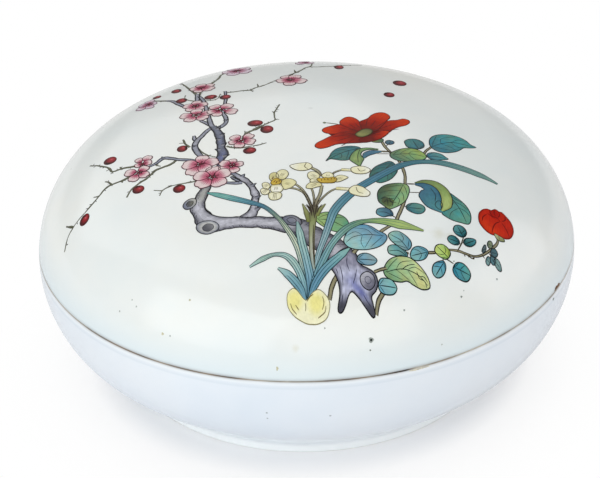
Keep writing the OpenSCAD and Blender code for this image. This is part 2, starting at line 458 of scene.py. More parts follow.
def paint_prunus(art):
    """The prunus without its flowers: root, trunk, boughs and twigs."""
    # Boughs are rows of path, widths in millimetres, level and colours. Twigs are rows of path and width
    # Root, trunk and the ring of old wood
    bough(art, [(-14, -35), (-12.4, -33), (-11.8, -31), (-11.6, -28.6), (-11.5, -26.4), (-12.6, -23.2),
        (-13.8, -20.6), (-15.8, -18.4), (-17.4, -16.6)], [3.6, 2.6, 2.0, 1.6, 1.9, 1.3, 1.7, 1.3, 1.1], 1,
        [MAUVE, MAUVE, MAUVE, MAUVE, ASH, MAUVE, SLATE], 0.6)
    thorns = [((-11.3, -31.8), (-10.2, -31), 1.3, 2), ((-11.4, -27.6), (-10.2, -26.8), 1.3, 2),
        ((-12.4, -22.9), (-11.3, -22), 1.1, 2), ((-14.6, -18.8), (-14, -17.9), 1.1, 2)]
    for values in thorns:
        thorn(art, *values)
    boughs = [
        ([(-14.6, -21.2), (-16.6, -21.2), (-18.8, -20.6)], [1.2, 1.0, 0.6], 0, [SLATE, SLATE]),
        ([(-15.2, -20.9), (-16.4, -19.6), (-17.3, -18.4)], [0.6, 0.7, 0.5], 0, [SLATE, DEEP_SLATE]),
        ([(10.4, -50.6), (8.2, -48), (5.2, -45), (1.6, -41.8), (-1.6, -38.6), (-5.4, -37.3), (-9, -36.5),
         (-12.6, -35.9), (-16.4, -35.6), (-19.4, -35.7), (-22.6, -36.2)],
         [5.0, 6.0, 6.2, 5.8, 5.6, 5.0, 4.0, 3.4, 3.6, 4.0, 4.4], 2, [MAUVE, MAUVE, ASH, ASH, MAUVE, MAUVE,
         MAUVE, MAUVE], 0.75),
        ([(-22.4, -36.8), (-23.4, -33.4), (-24.6, -30.2), (-24.9, -27.6), (-24, -24.6), (-23.2, -22),
         (-22.8, -19.4)], [4.0, 4.2, 3.5, 3.2, 2.5, 2.3, 2.4], 3, [ASH, ASH, MAUVE, MAUVE, (176, 176, 172),
         (168, 168, 166), SLATE], 0.72)]
    for values in boughs:
        bough(art, *values)
    # The crook where the trunk turns into the bough

    def crook_shade(u, v, points):
        return mix(MAUVE, DEEP_SLATE, 0.62 * smooth(np.maximum(v, 0) ** 1.5)) + tone(points, 0.8)
    art.band("prunus_branches", [(-24, -29.2), (-23.6, -31.2), (-22.4, -32.9), (-20.4, -34.1),
        (-18, -34.6), (-15.4, -34.6)], [1.2, 1.8, 2.4, 2.4, 1.9, 1.0], 3.7, crook_shade, columns=4)
    art.line([(-23.4, -28.9), (-23.1, -30), (-22.1, -31.5), (-20.5, -32.8), (-18.4, -33.5),
        (-15.6, -33.9)], INK, 0.3, 3.9)
    knob = [(-25.4, -25.6), (-26.6, -25.1), (-27.9, -26), (-28.4, -27.6), (-27.6, -28.9), (-26.4, -28.6),
        (-25.4, -27.4)]
    art.fill("prunus_branches", knob, 4, fade((-25.5, -26.5), (-28.4, -27.6), (182, 182, 176), SLATE),
        None, INK, 0.22)
    art.fill("prunus_branches", [(-26, -26.4), (-27, -26.1), (-27.5, -27), (-27.1, -27.9), (-26.3, -27.6)],
        4.3, fade((-26, -27), (-27.4, -27), (116, 116, 104), (74, 74, 78)), None)
    art.loop([(-26, -26.3), (-27, -26), (-27.6, -27), (-27.2, -28), (-26.4, -27.8)], INK, 0.16, 4.6)
    burl = [(-24.9, -34.6), (-23.2, -33.9), (-21.2, -34.4), (-20, -36), (-20.4, -37.6), (-22.4, -38.5),
        (-24.2, -37.8), (-25.2, -36.2)]
    art.fill("prunus_branches", burl, 4, fade((-20, -34), (-25, -38), (210, 210, 208), (176, 176, 176),
        SLATE, 0.7), None, INK, 0.2)
    art.fill("prunus_branches", [(-23.8, -36), (-22.8, -35), (-21.5, -35.4), (-21.2, -36.6),
        (-22.2, -37.6), (-23.4, -37.2)], 5, fade((-21, -35), (-24, -37), (134, 134, 138), (70, 70, 80)),
        None, DEEP_SLATE, 0.12)
    # The root that stands in front, with its two prongs
    root = [(5.2, -50.4), (6.2, -52), (7, -54), (7.2, -56), (6.7, -58.6), (7.6, -58.8), (8.5, -57.6),
        (9.2, -56), (10, -55.3), (11.4, -56.2), (13, -57.6), (14.5, -58.7), (15.1, -58.2), (14.6, -56.6),
        (14.4, -55.6), (15.5, -54.4), (15.9, -52.8), (15.2, -51.1), (13.6, -50.2), (12.2, -49.6),
        (11.6, -48), (10.6, -46.2), (9.2, -45.3), (7.4, -46.4), (5.8, -48.6)]

    def root_shade(points, share):
        x, y = points[:, 0], points[:, 1]
        color = mix((146, 145, 166), (190, 192, 212), smooth((-48.5 - y) / 3.4))
        cloud = np.exp(-((x - 10.3) / 2.2) ** 2 - ((y + 53.4) / 2.4) ** 2)
        color = mix(color, (172, 176, 216), 0.7 * cloud)
        blue = np.exp(-((x - 11.8) / 1.9) ** 2 - ((y + 55 + 0.7 * (x - 11.8)) / 0.9) ** 2)
        color = mix(color, VIOLET, 0.75 * blue) + tone(points, 1.1, 16)
        dark = np.maximum(smooth((share - 0.72) / 0.28) * 0.7, smooth((-55.6 - y) / 2.2) * 0.85)
        return mix(color, DEEP_SLATE, dark)
    art.fill("prunus_branches", root, 3, root_shade, (0, 1), INK, 0.24)
    art.fill("prunus_branches", [(12.2, -51.8), (13.6, -51), (15, -51.8), (15.2, -53.4), (14, -54.6),
        (12.6, -54.2), (11.9, -53)], 4, fade((13, -51), (15.4, -54), MAUVE, (104, 104, 122)), None, INK,
        0.2)
    art.loop([(13, -52.4), (13.8, -52), (14.4, -52.7), (14, -53.4), (13.2, -53.3)], (84, 84, 104), 0.14,
        4.6)
    art.lines(([(7.4, -50), (7.9, -52.4), (8, -54.6)], [(9.2, -47.4), (9, -49.4), (9.6, -51.4)],
        [(11.2, -50.6), (10.8, -52.4), (10.2, -54)], [(12.4, -55.4), (13.4, -56.6), (14.4, -57.4)],
        [(7.6, -57.6), (7.9, -55.8)], [(6.4, -50.6), (7, -52.2)]), (66, 66, 90), 0.18, 4, 0.9)
    knot = [(-5.4, -35.3), (-4.4, -34.6), (-2.8, -34.6), (-1.4, -35.8), (-0.9, -37.4), (-2, -38.2),
        (-3.8, -37.8), (-5, -36.8)]
    art.fill("prunus_branches", knot, 3, fade((-1, -35), (-5, -37), ASH, SLATE, DEEP_SLATE, 0.7), None,
        INK, 0.2)
    art.loop([(-4.4, -36), (-3.4, -35.3), (-2.3, -36), (-2.4, -37), (-3.5, -37.2)], INK, 0.16, 3.6)
    # Upper trunk and boughs
    bough(art, [(-19.8, -13.6), (-19.8, -11), (-19.3, -8.6), (-19.7, -5.6), (-19.8, -2), (-20.2, 1),
        (-21, 3.6), (-21.8, 5.6)], [1.6, 1.8, 2.6, 2.0, 2.1, 2.1, 1.9, 1.5], 3,
        [SLATE, (98, 106, 150), SLATE, (104, 112, 142), SLATE, SLATE])
    for root, tip in (((-18.9, -9.6), (-17.6, -9)), ((-19.2, -4.4), (-18.3, -3.3)),
            ((-20.2, -6.4), (-21.2, -5.8)), ((-19.6, 0.4), (-18.9, 1.5)), ((-20.2, -1.6), (-21.1, -0.8)),
            ((-20.6, 4), (-19.9, 5.2))):
        thorn(art, root, tip, 1.2, 3)
    for root, tip in (((-25.7, -3.2), (-26.7, -2.6)), ((-18.9, 8), (-18.1, 8.6)),
            ((-33.4, -6.2), (-33.9, -5.4))):
        thorn(art, root, tip, 0.8, 2)
    boughs = [
        ([(-21.8, 5), (-22.4, 7.4), (-22.7, 10), (-23.2, 13), (-23.6, 16.6), (-24, 20), (-24.8, 23.4),
         (-25.6, 25.4)], [1.3, 1.2, 1.0, 1.0, 0.9, 0.8, 0.8, 0.7], 2, [SLATE, ASH, SLATE]),
        ([(-20.6, 4.4), (-19.4, 5.4), (-18.6, 7.2), (-18.8, 9.6), (-19.4, 12.6), (-19, 17), (-18.9, 21),
         (-19, 26.4)], [1.4, 1.2, 1.1, 1.0, 0.8, 0.7, 0.7, 0.6], 2, [SLATE, ASH, SLATE]),
        ([(-21.8, 5.4), (-23, 3.8), (-24.4, 1.4), (-25.5, -0.8), (-25.9, -3.4), (-25.4, -6),
         (-24.2, -8.8)], [1.0, 1.1, 1.1, 1.4, 1.3, 1.5, 1.2], 2, [SLATE, ASH, SLATE]),
        ([(-25.8, -0.6), (-26.2, 0.8), (-26.3, 2.2)], [0.9, 0.8, 0.5], 1, [SLATE, ASH]),
        ([(-22.4, 6.4), (-23.6, 8.2), (-24.9, 9.8)], [1.0, 0.9, 0.7], 1, [SLATE, ASH]),
        ([(-25.9, 19.6), (-25.9, 24), (-26, 27)], [1.1, 1.1, 1.0], 2, [SLATE, ASH]),
        ([(-28, 18.4), (-29.4, 20.4), (-30.8, 22.6), (-32, 24.8), (-33.6, 26)], [0.9, 0.9, 0.9, 0.8, 0.6],
         2, [SLATE, ASH])]
    for values in boughs:
        bough(art, *values)
    twigs = [
        ([(-26, 26.6), (-27.2, 29.4), (-28.5, 33), (-29.6, 36.6), (-30.4, 39.6)], 0.8),
        ([(-25.6, 25), (-25.2, 28), (-24.6, 30)], 0.8),
        ([(-23.2, 32.8), (-21.9, 35), (-20.9, 37.4), (-20.2, 40.2), (-18.4, 42.4)], 0.8),
        ([(-33.6, 26), (-35.6, 27), (-37, 28.2), (-37.2, 29.6)], 0.7),
        ([(-19.3, 26.5), (-18.8, 25.5), (-16.6, 25.3), (-15, 25.6), (-13, 25.5), (-11.6, 26.8),
         (-10.3, 27.6), (-8.8, 28.9), (-7, 30.9), (-5.4, 32.2)], 0.7),
        ([(-3.6, 34.6), (-2, 36.6), (-0.4, 38.8), (0.8, 41.2), (2.2, 43), (2.4, 46.4)], 0.7),
        ([(1.2, 42), (4.4, 42.1), (7, 42.6), (11, 44), (15, 45.2)], 0.5),
        ([(-12.9, 25.4), (-12.2, 24.2)], 0.5),
        ([(-10.9, 27.2), (-11.2, 29.6)], 0.5),
        ([(-1.6, 37), (-2, 39.6)], 0.5),
        ([(-23.8, 21.4), (-21.8, 21.4), (-20.6, 22.4), (-20.2, 25)], 0.5),
        ([(-26.6, 22.4), (-28, 23.6), (-29, 25.4), (-28.9, 27.6)], 0.5)]
    for values in twigs:
        twig(art, *values)
    # Twigs on the left
    bough(art, [(-25.6, -10), (-27.4, -9), (-30, -8), (-33.2, -6.3), (-35, -7.9), (-36.8, -8.9)],
        [0.9, 0.9, 0.9, 1.1, 0.8, 0.7], 1, [SLATE, SLATE])
    twigs = [
        ([(-30.2, -8.1), (-31.4, -9.4), (-32.8, -10.2), (-35, -10.9), (-36, -12.2), (-37.2, -13.8),
         (-38.8, -15), (-40.2, -16.4), (-41, -17.6), (-41.8, -19.8)], 0.8),
        ([(-34.6, -8), (-35.2, -8.8), (-34, -9.7)], 0.5),
        ([(-40.6, -11), (-43, -12.4), (-45.8, -12.9), (-47.4, -13.9), (-48.5, -15.4), (-50.2, -17),
         (-52, -18.4), (-54.8, -19.9), (-56.1, -21), (-56.9, -23.4)], 0.8, 0.25),
        ([(-45.7, -12.8), (-46.2, -11.6), (-47.3, -10.6)], 0.6),
        ([(-54.8, -19.8), (-56.6, -17.4)], 0.45),
        ([(-48.6, -15.4), (-49.9, -14.8)], 0.5),
        ([(-43.2, -12.4), (-43, -13.3)], 0.5),
        ([(-40, -7.3), (-43.4, -7), (-45.5, -7.3), (-46.2, -6), (-47.2, -4.3), (-49, -2.5), (-51.4, -0.2)],
         0.75),
        ([(-43.5, -7), (-43.9, -6)], 0.5),
        ([(-46.3, -5.8), (-47.2, -6.1)], 0.5),
        ([(-45.4, -7.3), (-46, -8.1)], 0.5),
        ([(-24.4, -18.6), (-28, -18.6), (-31.2, -18.9), (-33.2, -20), (-34, -21.9)], 0.55),
        ([(-31.2, -18.9), (-32, -18.6)], 0.5),
        ([(-33.4, -20.1), (-35.4, -19.3)], 0.5),
        ([(-27.2, -3.2), (-28.2, -1.4), (-28.9, 1.1)], 0.7),
        ([(-28.2, -0.9), (-29.8, -0.5)], 0.4),
        ([(-25.1, -4.6), (-24.2, -6.4), (-22.6, -8.3), (-20.6, -9.6)], 0.5)]
    for values in twigs:
        twig(art, *values)
    # Twigs on the right
    twigs = [
        ([(-18.4, -5), (-17, -6), (-15, -6.6), (-13, -6.2), (-10.6, -5.8), (-8.9, -5.1)], 0.6),
        ([(-14.6, -2.4), (-14, -0.4), (-13, 0.9), (-11, 2.1), (-9.4, 3.8), (-7.9, 5.1), (-6.8, 6.1),
         (-7, 8), (-6.9, 10.4), (-6.3, 12.4), (-5.7, 14.8)], 0.7),
        ([(-11.9, 1.6), (-11, 2.6), (-10.2, 3.4)], 1.2, 0.6, 2),
        ([(-14, 0), (-14.1, 1.5)], 0.5),
        ([(-6.9, 10), (-7.5, 10.8)], 0.4),
        ([(-6.9, 6.1), (-5.8, 6.3)], 0.4)]
    for values in twigs:
        twig(art, *values)


def paint_blossoms(art):
    """The prunus flowers and buds."""
    # Rows of heart, petals as (x, y, radius), level, spread of the stamens, and whether it is far off
    # Far off flowers are painted paler, as painted sheen of the glaze seen edge-on
    blossoms = [
        ((-24.6, -11.8), [(-24.2, -9.7, 1.8), (-21.9, -11.4, 1.9), (-26.2, -14.2, 2.0), (-27, -11.2, 2.0),
         (-23.5, -13.6, 1.8)], 4),
        ((-17, -13.9), [(-16.9, -12.2, 1.1), (-15.4, -13.6, 1.2), (-16.6, -15.8, 1.4), (-18.8, -14.9, 1.5),
         (-18.8, -12.8, 1.4)], 5, 0.9),
        ((-21.6, -17.8), [(-21.4, -15.4, 2.0), (-19.2, -16.8, 2.0), (-20.3, -20, 2.1), (-23.7, -19.8, 2.1),
         (-24.2, -16.8, 2.0)], 8, 1.4),
        ((-38.4, -7), [(-39.3, -5, 1.1), (-37.3, -4.9, 1.3), (-37.2, -6.9, 1.2), (-39.4, -7.2, 1.0)], 4,
         0.7),
        ((-39.2, -10.6), [(-41.2, -9.9, 1.5), (-40.3, -12.6, 1.5), (-37.9, -12, 1.4), (-38.1, -9.4, 1.4)],
         7, 0.9),
        ((-14.9, -3.2), [(-16.3, -1.5, 1.4), (-13.2, -1.4, 1.4), (-12.9, -4, 1.5), (-15.3, -5.1, 1.4),
         (-16.9, -3.6, 1.1)], 4, 0.9),
        ((-26, 13.2), [(-28.4, 13.8, 1.7), (-27.4, 11.4, 1.6), (-24.4, 11.4, 1.6), (-23.3, 13.6, 1.6),
         (-25.9, 15.3, 1.6)], 4, 1.0),
        ((-20.2, 14.4), [(-21.4, 16.5, 1.5), (-18.6, 16.2, 1.7), (-17.4, 12.9, 1.7), (-20.8, 12.3, 1.4),
         (-22.2, 13.9, 1.3)], 5, 1.0),
        ((-26.2, 18.9), [(-26, 20.9, 1.4), (-24.4, 19.4, 1.3), (-25.2, 17.3, 1.3), (-27.4, 17.4, 1.4),
         (-28, 19.6, 1.4)], 4, 0.9),
        ((-3, 31), [(-4.9, 30.8, 1.7), (-3.9, 33.3, 1.6), (-1.9, 33.3, 1.7), (-0.8, 30.2, 2.0),
         (-3.2, 28.6, 1.7)], 4, 1.0),
        ((-25, 31.2), [(-26.6, 31.4, 1.5), (-25.6, 29.4, 1.4), (-23.4, 30, 1.7), (-23.2, 32.4, 1.4),
         (-25.2, 33, 1.4)], 4, 0.9),
        ((-16.4, 42.4), [(-18.6, 42.6, 1.7), (-17.2, 40.2, 1.7), (-14.4, 41, 1.7), (-14.6, 43.8, 1.7),
         (-17.2, 44.6, 1.7)], 4, 1.0, True),
        ((-37.9, 26), [(-37.8, 28, 1.3), (-36.9, 26, 1.0), (-37.8, 24.2, 1.3), (-39.8, 24.2, 1.3),
         (-39.4, 26.6, 1.2)], 4, 0.8, True),
        ((0.8, 47), [(0.4, 48.4, 1.4), (1.8, 46.4, 1.2), (-0.4, 46, 1.3)], 4, 0.7, True)]
    for values in blossoms:
        blossom(art, *values)
    for middle, rx, ry, stalk in [((-46.4, -1.8), 1.5, 1.6, (-47.6, -4)),
            ((-39.1, -17.7), 1.35, 1.5, (-39.3, -15.4)), ((-51.9, -20.5), 1.1, 1.5, (-52.3, -18.4)),
            ((-29.4, -20.5), 1.4, 1.5, (-29.6, -18.6)), ((-29, -3.4), 1.2, 1.4, (-27.4, -3.2)),
            ((-11.6, 5), 1.8, 1.5, (-11.2, 3)), ((-8.8, 1.4), 1.5, 1.8, (-10.8, 2)),
            ((-12.9, -8.1), 1.5, 1.4, (-14.2, -6.6)), ((-29.8, 24.1), 1.3, 1.5, (-28.6, 24.6)),
            ((-22.6, 23.5), 1.5, 1.4, (-20.6, 23)), ((-19, 22.3), 1.3, 1.4, (-20.4, 22.6)),
            ((-31.3, 32), 1.2, 1.4, (-29.6, 33)), ((-36.1, 30.4), 1.0, 1.0, (-37.2, 29.4)),
            ((9.2, 41.8), 1.1, 1.7, (7.4, 42.8)), ((24, 30.8), 1.6, 1.9, (22.8, 32)),
            ((21.1, 21.7), 1.25, 1.5, (20, 23.2))]:
        bud(art, middle, rx, ry, stalk, 5)


def paint_camellia(art):
    """The red camellia, its bud and its stems."""
    red = "camellia_petals"
    heart = (14.6, -1.2)

    def red_shade(tip):
        h = np.array(heart, float)
        d = tip - h

        def shade(points, share):
            t = ((points - h) @ d) / (d @ d)
            color = mix(CRIMSON, RED, smooth((t - 0.1) / 0.5)) + tone(points, 1.6, 5)
            return mix(color, ORANGE, smooth((t - 0.5) / 0.4))
        return shade
    under = [(10, -5), (14, -5.4), (18, -3.4), (20, -0.4), (20, 2.6), (18, 4), (14, 4), (10, 2.6), (7, 1),
        (6, -2)]
    art.fill(red, under, 2, fade((7, -4), (20, 3), CRIMSON, CRIMSON), (1, 0), None)
    petals = [
        ((25.4, 7.2), [(16.6, -1), (17.8, 2), (19, 4.6), (20.7, 6.2), (22.4, 6.7), (24, 7.7), (25.3, 7.2),
         (25.4, 5.8), (24.4, 4.3), (22.8, 3.2), (21.4, 1.7), (20.2, -0.2), (18.6, -1.6)]),
        ((4.4, 0), [(12.6, -1.6), (9, -1.6), (6.8, -1.9), (5.2, -1.4), (4.4, -0.3), (4.9, 1), (6.6, 2.1),
         (8.8, 3), (11, 2.4), (13, 0.8)]),
        ((10.8, 7), [(13.6, -0.6), (11, 1), (9, 2.8), (8.7, 4.3), (9.4, 5.8), (10.4, 6.9), (11.6, 6.9),
         (12.9, 5.7), (13.5, 4.2), (14.2, 2), (14.6, 0)]),
        ((19.2, 10.2), [(14.4, -0.4), (13.6, 2.4), (13.5, 4.6), (14.7, 5.8), (15.6, 6.8), (16.3, 8.3),
         (17.6, 9.8), (19.2, 10.3), (20.4, 9.4), (20.8, 7.8), (20, 6), (18.8, 3.2), (17.2, 0.4)]),
        ((3.4, -8), [(14.4, -3.2), (12, -2), (9, -1.2), (6.6, -2.8), (4.6, -4.7), (3, -6.3), (2.6, -7.8),
         (3.8, -8.7), (5.6, -8.1), (7.8, -6.7), (11, -6.1), (14, -5.6), (15.6, -4.6)]),
        ((20.4, 0), [(14, -5.6), (16, -4.9), (18, -3.6), (19.5, -1.6), (20.4, 0.4), (19.2, 0.6),
         (17.8, -0.2), (16, -2), (14, -3.4), (13, -4.6)])]
    for number, (tip, outline) in enumerate(petals):
        art.fill(red, outline, 3 + number, red_shade(tip), np.subtract(tip, heart), (94, 14, 8), 0.2)
        way = np.subtract(tip, heart)
        for k in (-0.16, 0, 0.16):
            side = left_of(way) * k
            a = np.add(heart, way * 0.3 + side * 0.6)
            b = np.add(heart, way * 0.62 + side * 1.1)
            art.line([a, b], (78, 14, 10), 0.17, 3.5 + number, 0.9)
    center = [(12.2, -2), (12.8, -0.9), (13.9, 0.5), (15.3, 1.1), (16.3, 0.5), (16.2, -0.9), (15.2, -2.2),
        (13.9, -3.1), (12.8, -3)]
    art.fill("camellia_center", center, 10, fade((12.4, -2.6), (16, 0.6), (150, 152, 84), (112, 114, 62),
        (70, 64, 30)), (1, 0.8), (60, 52, 22), 0.2)
    art.fill("camellia_leaves", [(16, -5), (17.2, -5.3), (18.6, -4.9), (18.8, -3.4), (18, -3.6),
        (17, -4.4)], 2, fade((16, -5), (19, -4), OLIVE, DEEP_GREEN), (1, 0), LEAF_INK)
    art.line([(8.2, 3.1), (6.6, 3.5), (5.2, 3.8)], (92, 100, 78), 0.3, 2.5)
    art.dot((5, 3.8), 0.42, (110, 122, 92), 3, "camellia_leaves")
    bud_outline = [(40, -31.6), (40.1, -29.2), (41.1, -27.5), (42.3, -26.8), (43.1, -26.9), (44.1, -26),
        (45, -26.4), (45.5, -26.1), (46.5, -26.8), (47.6, -27.8), (48.1, -29.6), (47.4, -31.8), (46, -33),
        (44.1, -33.5), (42.3, -33.8), (40.9, -33.1)]
    art.fill(red, bud_outline, 4, fade((44, -29.5), (42, -33.8), (192, 36, 12), (216, 60, 18),
        (160, 26, 8), 0.82), (0, 1), (110, 14, 6), 0.18)
    folds = [(42.5, -27.4), (43.4, -26.9), (44.4, -26.8), (45.3, -27.4), (45.3, -28.8), (44.3, -29.2),
        (43, -28.8)]
    art.fill(red, folds, 4.4, fade((44, -28), (45.6, -29.4), (172, 22, 8), (200, 42, 12)), (0, 1), None)
    art.lines(([(42.1, -28.2), (43.2, -28.7), (44.2, -28.5), (45.1, -29.2)],
        [(42.7, -27), (42.9, -28), (43.3, -28.6)], [(44.6, -26.3), (45.1, -27.2), (44.5, -28.3)],
        [(43.9, -26.4), (43.7, -27.4), (44.1, -28.2)], [(45.1, -29.1), (43.9, -30.3), (43.2, -31.9),
        (42.9, -33.3)], [(46.2, -27), (46.3, -28), (45.4, -28.9)],
        [(45.4, -29.3), (46.4, -30.6), (47, -31.8)], [(41.9, -28.6), (41, -29.8), (40.7, -31.2)]),
        (112, 10, 4), 0.22, 5, 0.7)
    art.fill("camellia_leaves", [(43.4, -33.2), (44.4, -33.2), (45.6, -33.2), (45.8, -33.8), (44.6, -34.4),
        (43.8, -34.2)], 4.6, fade((44, -33), (45, -34.4), (186, 190, 140), (128, 134, 84)), (1, 0),
        LEAF_INK, 0.14, grid=0.35)
    art.line([(44.4, -33.3), (44.6, -34)], LEAF_INK, 0.14, 5.4)
    # Stems are rows of path, width, level and the outline's width
    stems = [
        ([(18.4, -4.4), (19, -6.6), (20, -8.6), (21, -10.6), (22.2, -12.8), (22.9, -15.4), (23.4, -18.6),
         (23.3, -22)], 0.6, 1),
        ([(23, -28), (22.3, -30.6), (21.6, -33), (20.7, -35.6), (19.4, -37.4), (18, -38.8), (16.6, -40.2)],
         0.72, 1),
        ([(12.4, -44.6), (11.2, -45.8), (10.6, -46.8)], 0.9, 3.6),
        ([(18, -49.7), (16.6, -50.2), (15.2, -50.9)], 0.55, 3.8),
        ([(17.2, -54.4), (16, -56), (15.3, -58.2)], 0.8, 1),
        ([(6.6, -52.6), (5.6, -54.4), (4.8, -57)], 0.9, 1),
        ([(28, -9.8), (28.7, -7.6), (30.2, -5)], 0.5, 1),
        ([(17.8, -9.2), (20.4, -9.1)], 0.45, 1),
        ([(22, -46.8), (22.6, -45.4), (23.2, -45.2)], 0.4, 1),
        ([(27.4, -44.2), (28.6, -43.8), (29.8, -43.3)], 0.5, 1),
        ([(31.8, -42.2), (33.5, -41.7), (35, -41.4), (36.5, -41.4), (38.6, -41), (40.5, -39.7),
         (41.8, -38.3), (43, -36.8), (44, -35.3), (44.3, -33.9)], 0.42, 1, 0.17)]
    for values in stems:
        stem(art, *values)
    for root, tip in (((36, -41.5), (36.2, -42.1)), ((37.2, -41.3), (37, -41.9)),
            ((38.4, -41.1), (38.2, -41.8)), ((40.2, -39.9), (40.8, -40.3)), ((42.6, -37.2), (42, -36.9))):
        art.line([root, tip], (58, 50, 36), 0.24, 2)
    for path, w in [([(19.4, -6.6), (20, -5.6)], 0.2), ([(17.2, -10.4), (20.6, -10)], 0.22),
            ([(23.6, -22), (25.6, -21.8)], 0.45), ([(23.9, -25.2), (26.8, -24.9)], 0.25),
            ([(22.6, -30.4), (23.6, -30.7)], 0.3), ([(20.8, -34.8), (19.6, -34)], 0.3),
            ([(34.5, -41.5), (35.5, -39.4), (36.1, -37.4)], 0.28), ([(35.4, -39.6), (34.6, -39.4)], 0.22),
            ([(35.6, -39.2), (36.6, -38.8)], 0.22), ([(31.4, -44.2), (33.4, -44.7)], 0.28),
            ([(31, -44.6), (31.2, -45.4)], 0.28), ([(36.4, -41.5), (38, -41.8), (38.3, -41.3)], 0.3),
            ([(43.2, -36.6), (42.4, -36.8)], 0.2), ([(41.8, -38.6), (42.6, -39.2)], 0.25)]:
        art.line(path, (74, 66, 50), w, 2)


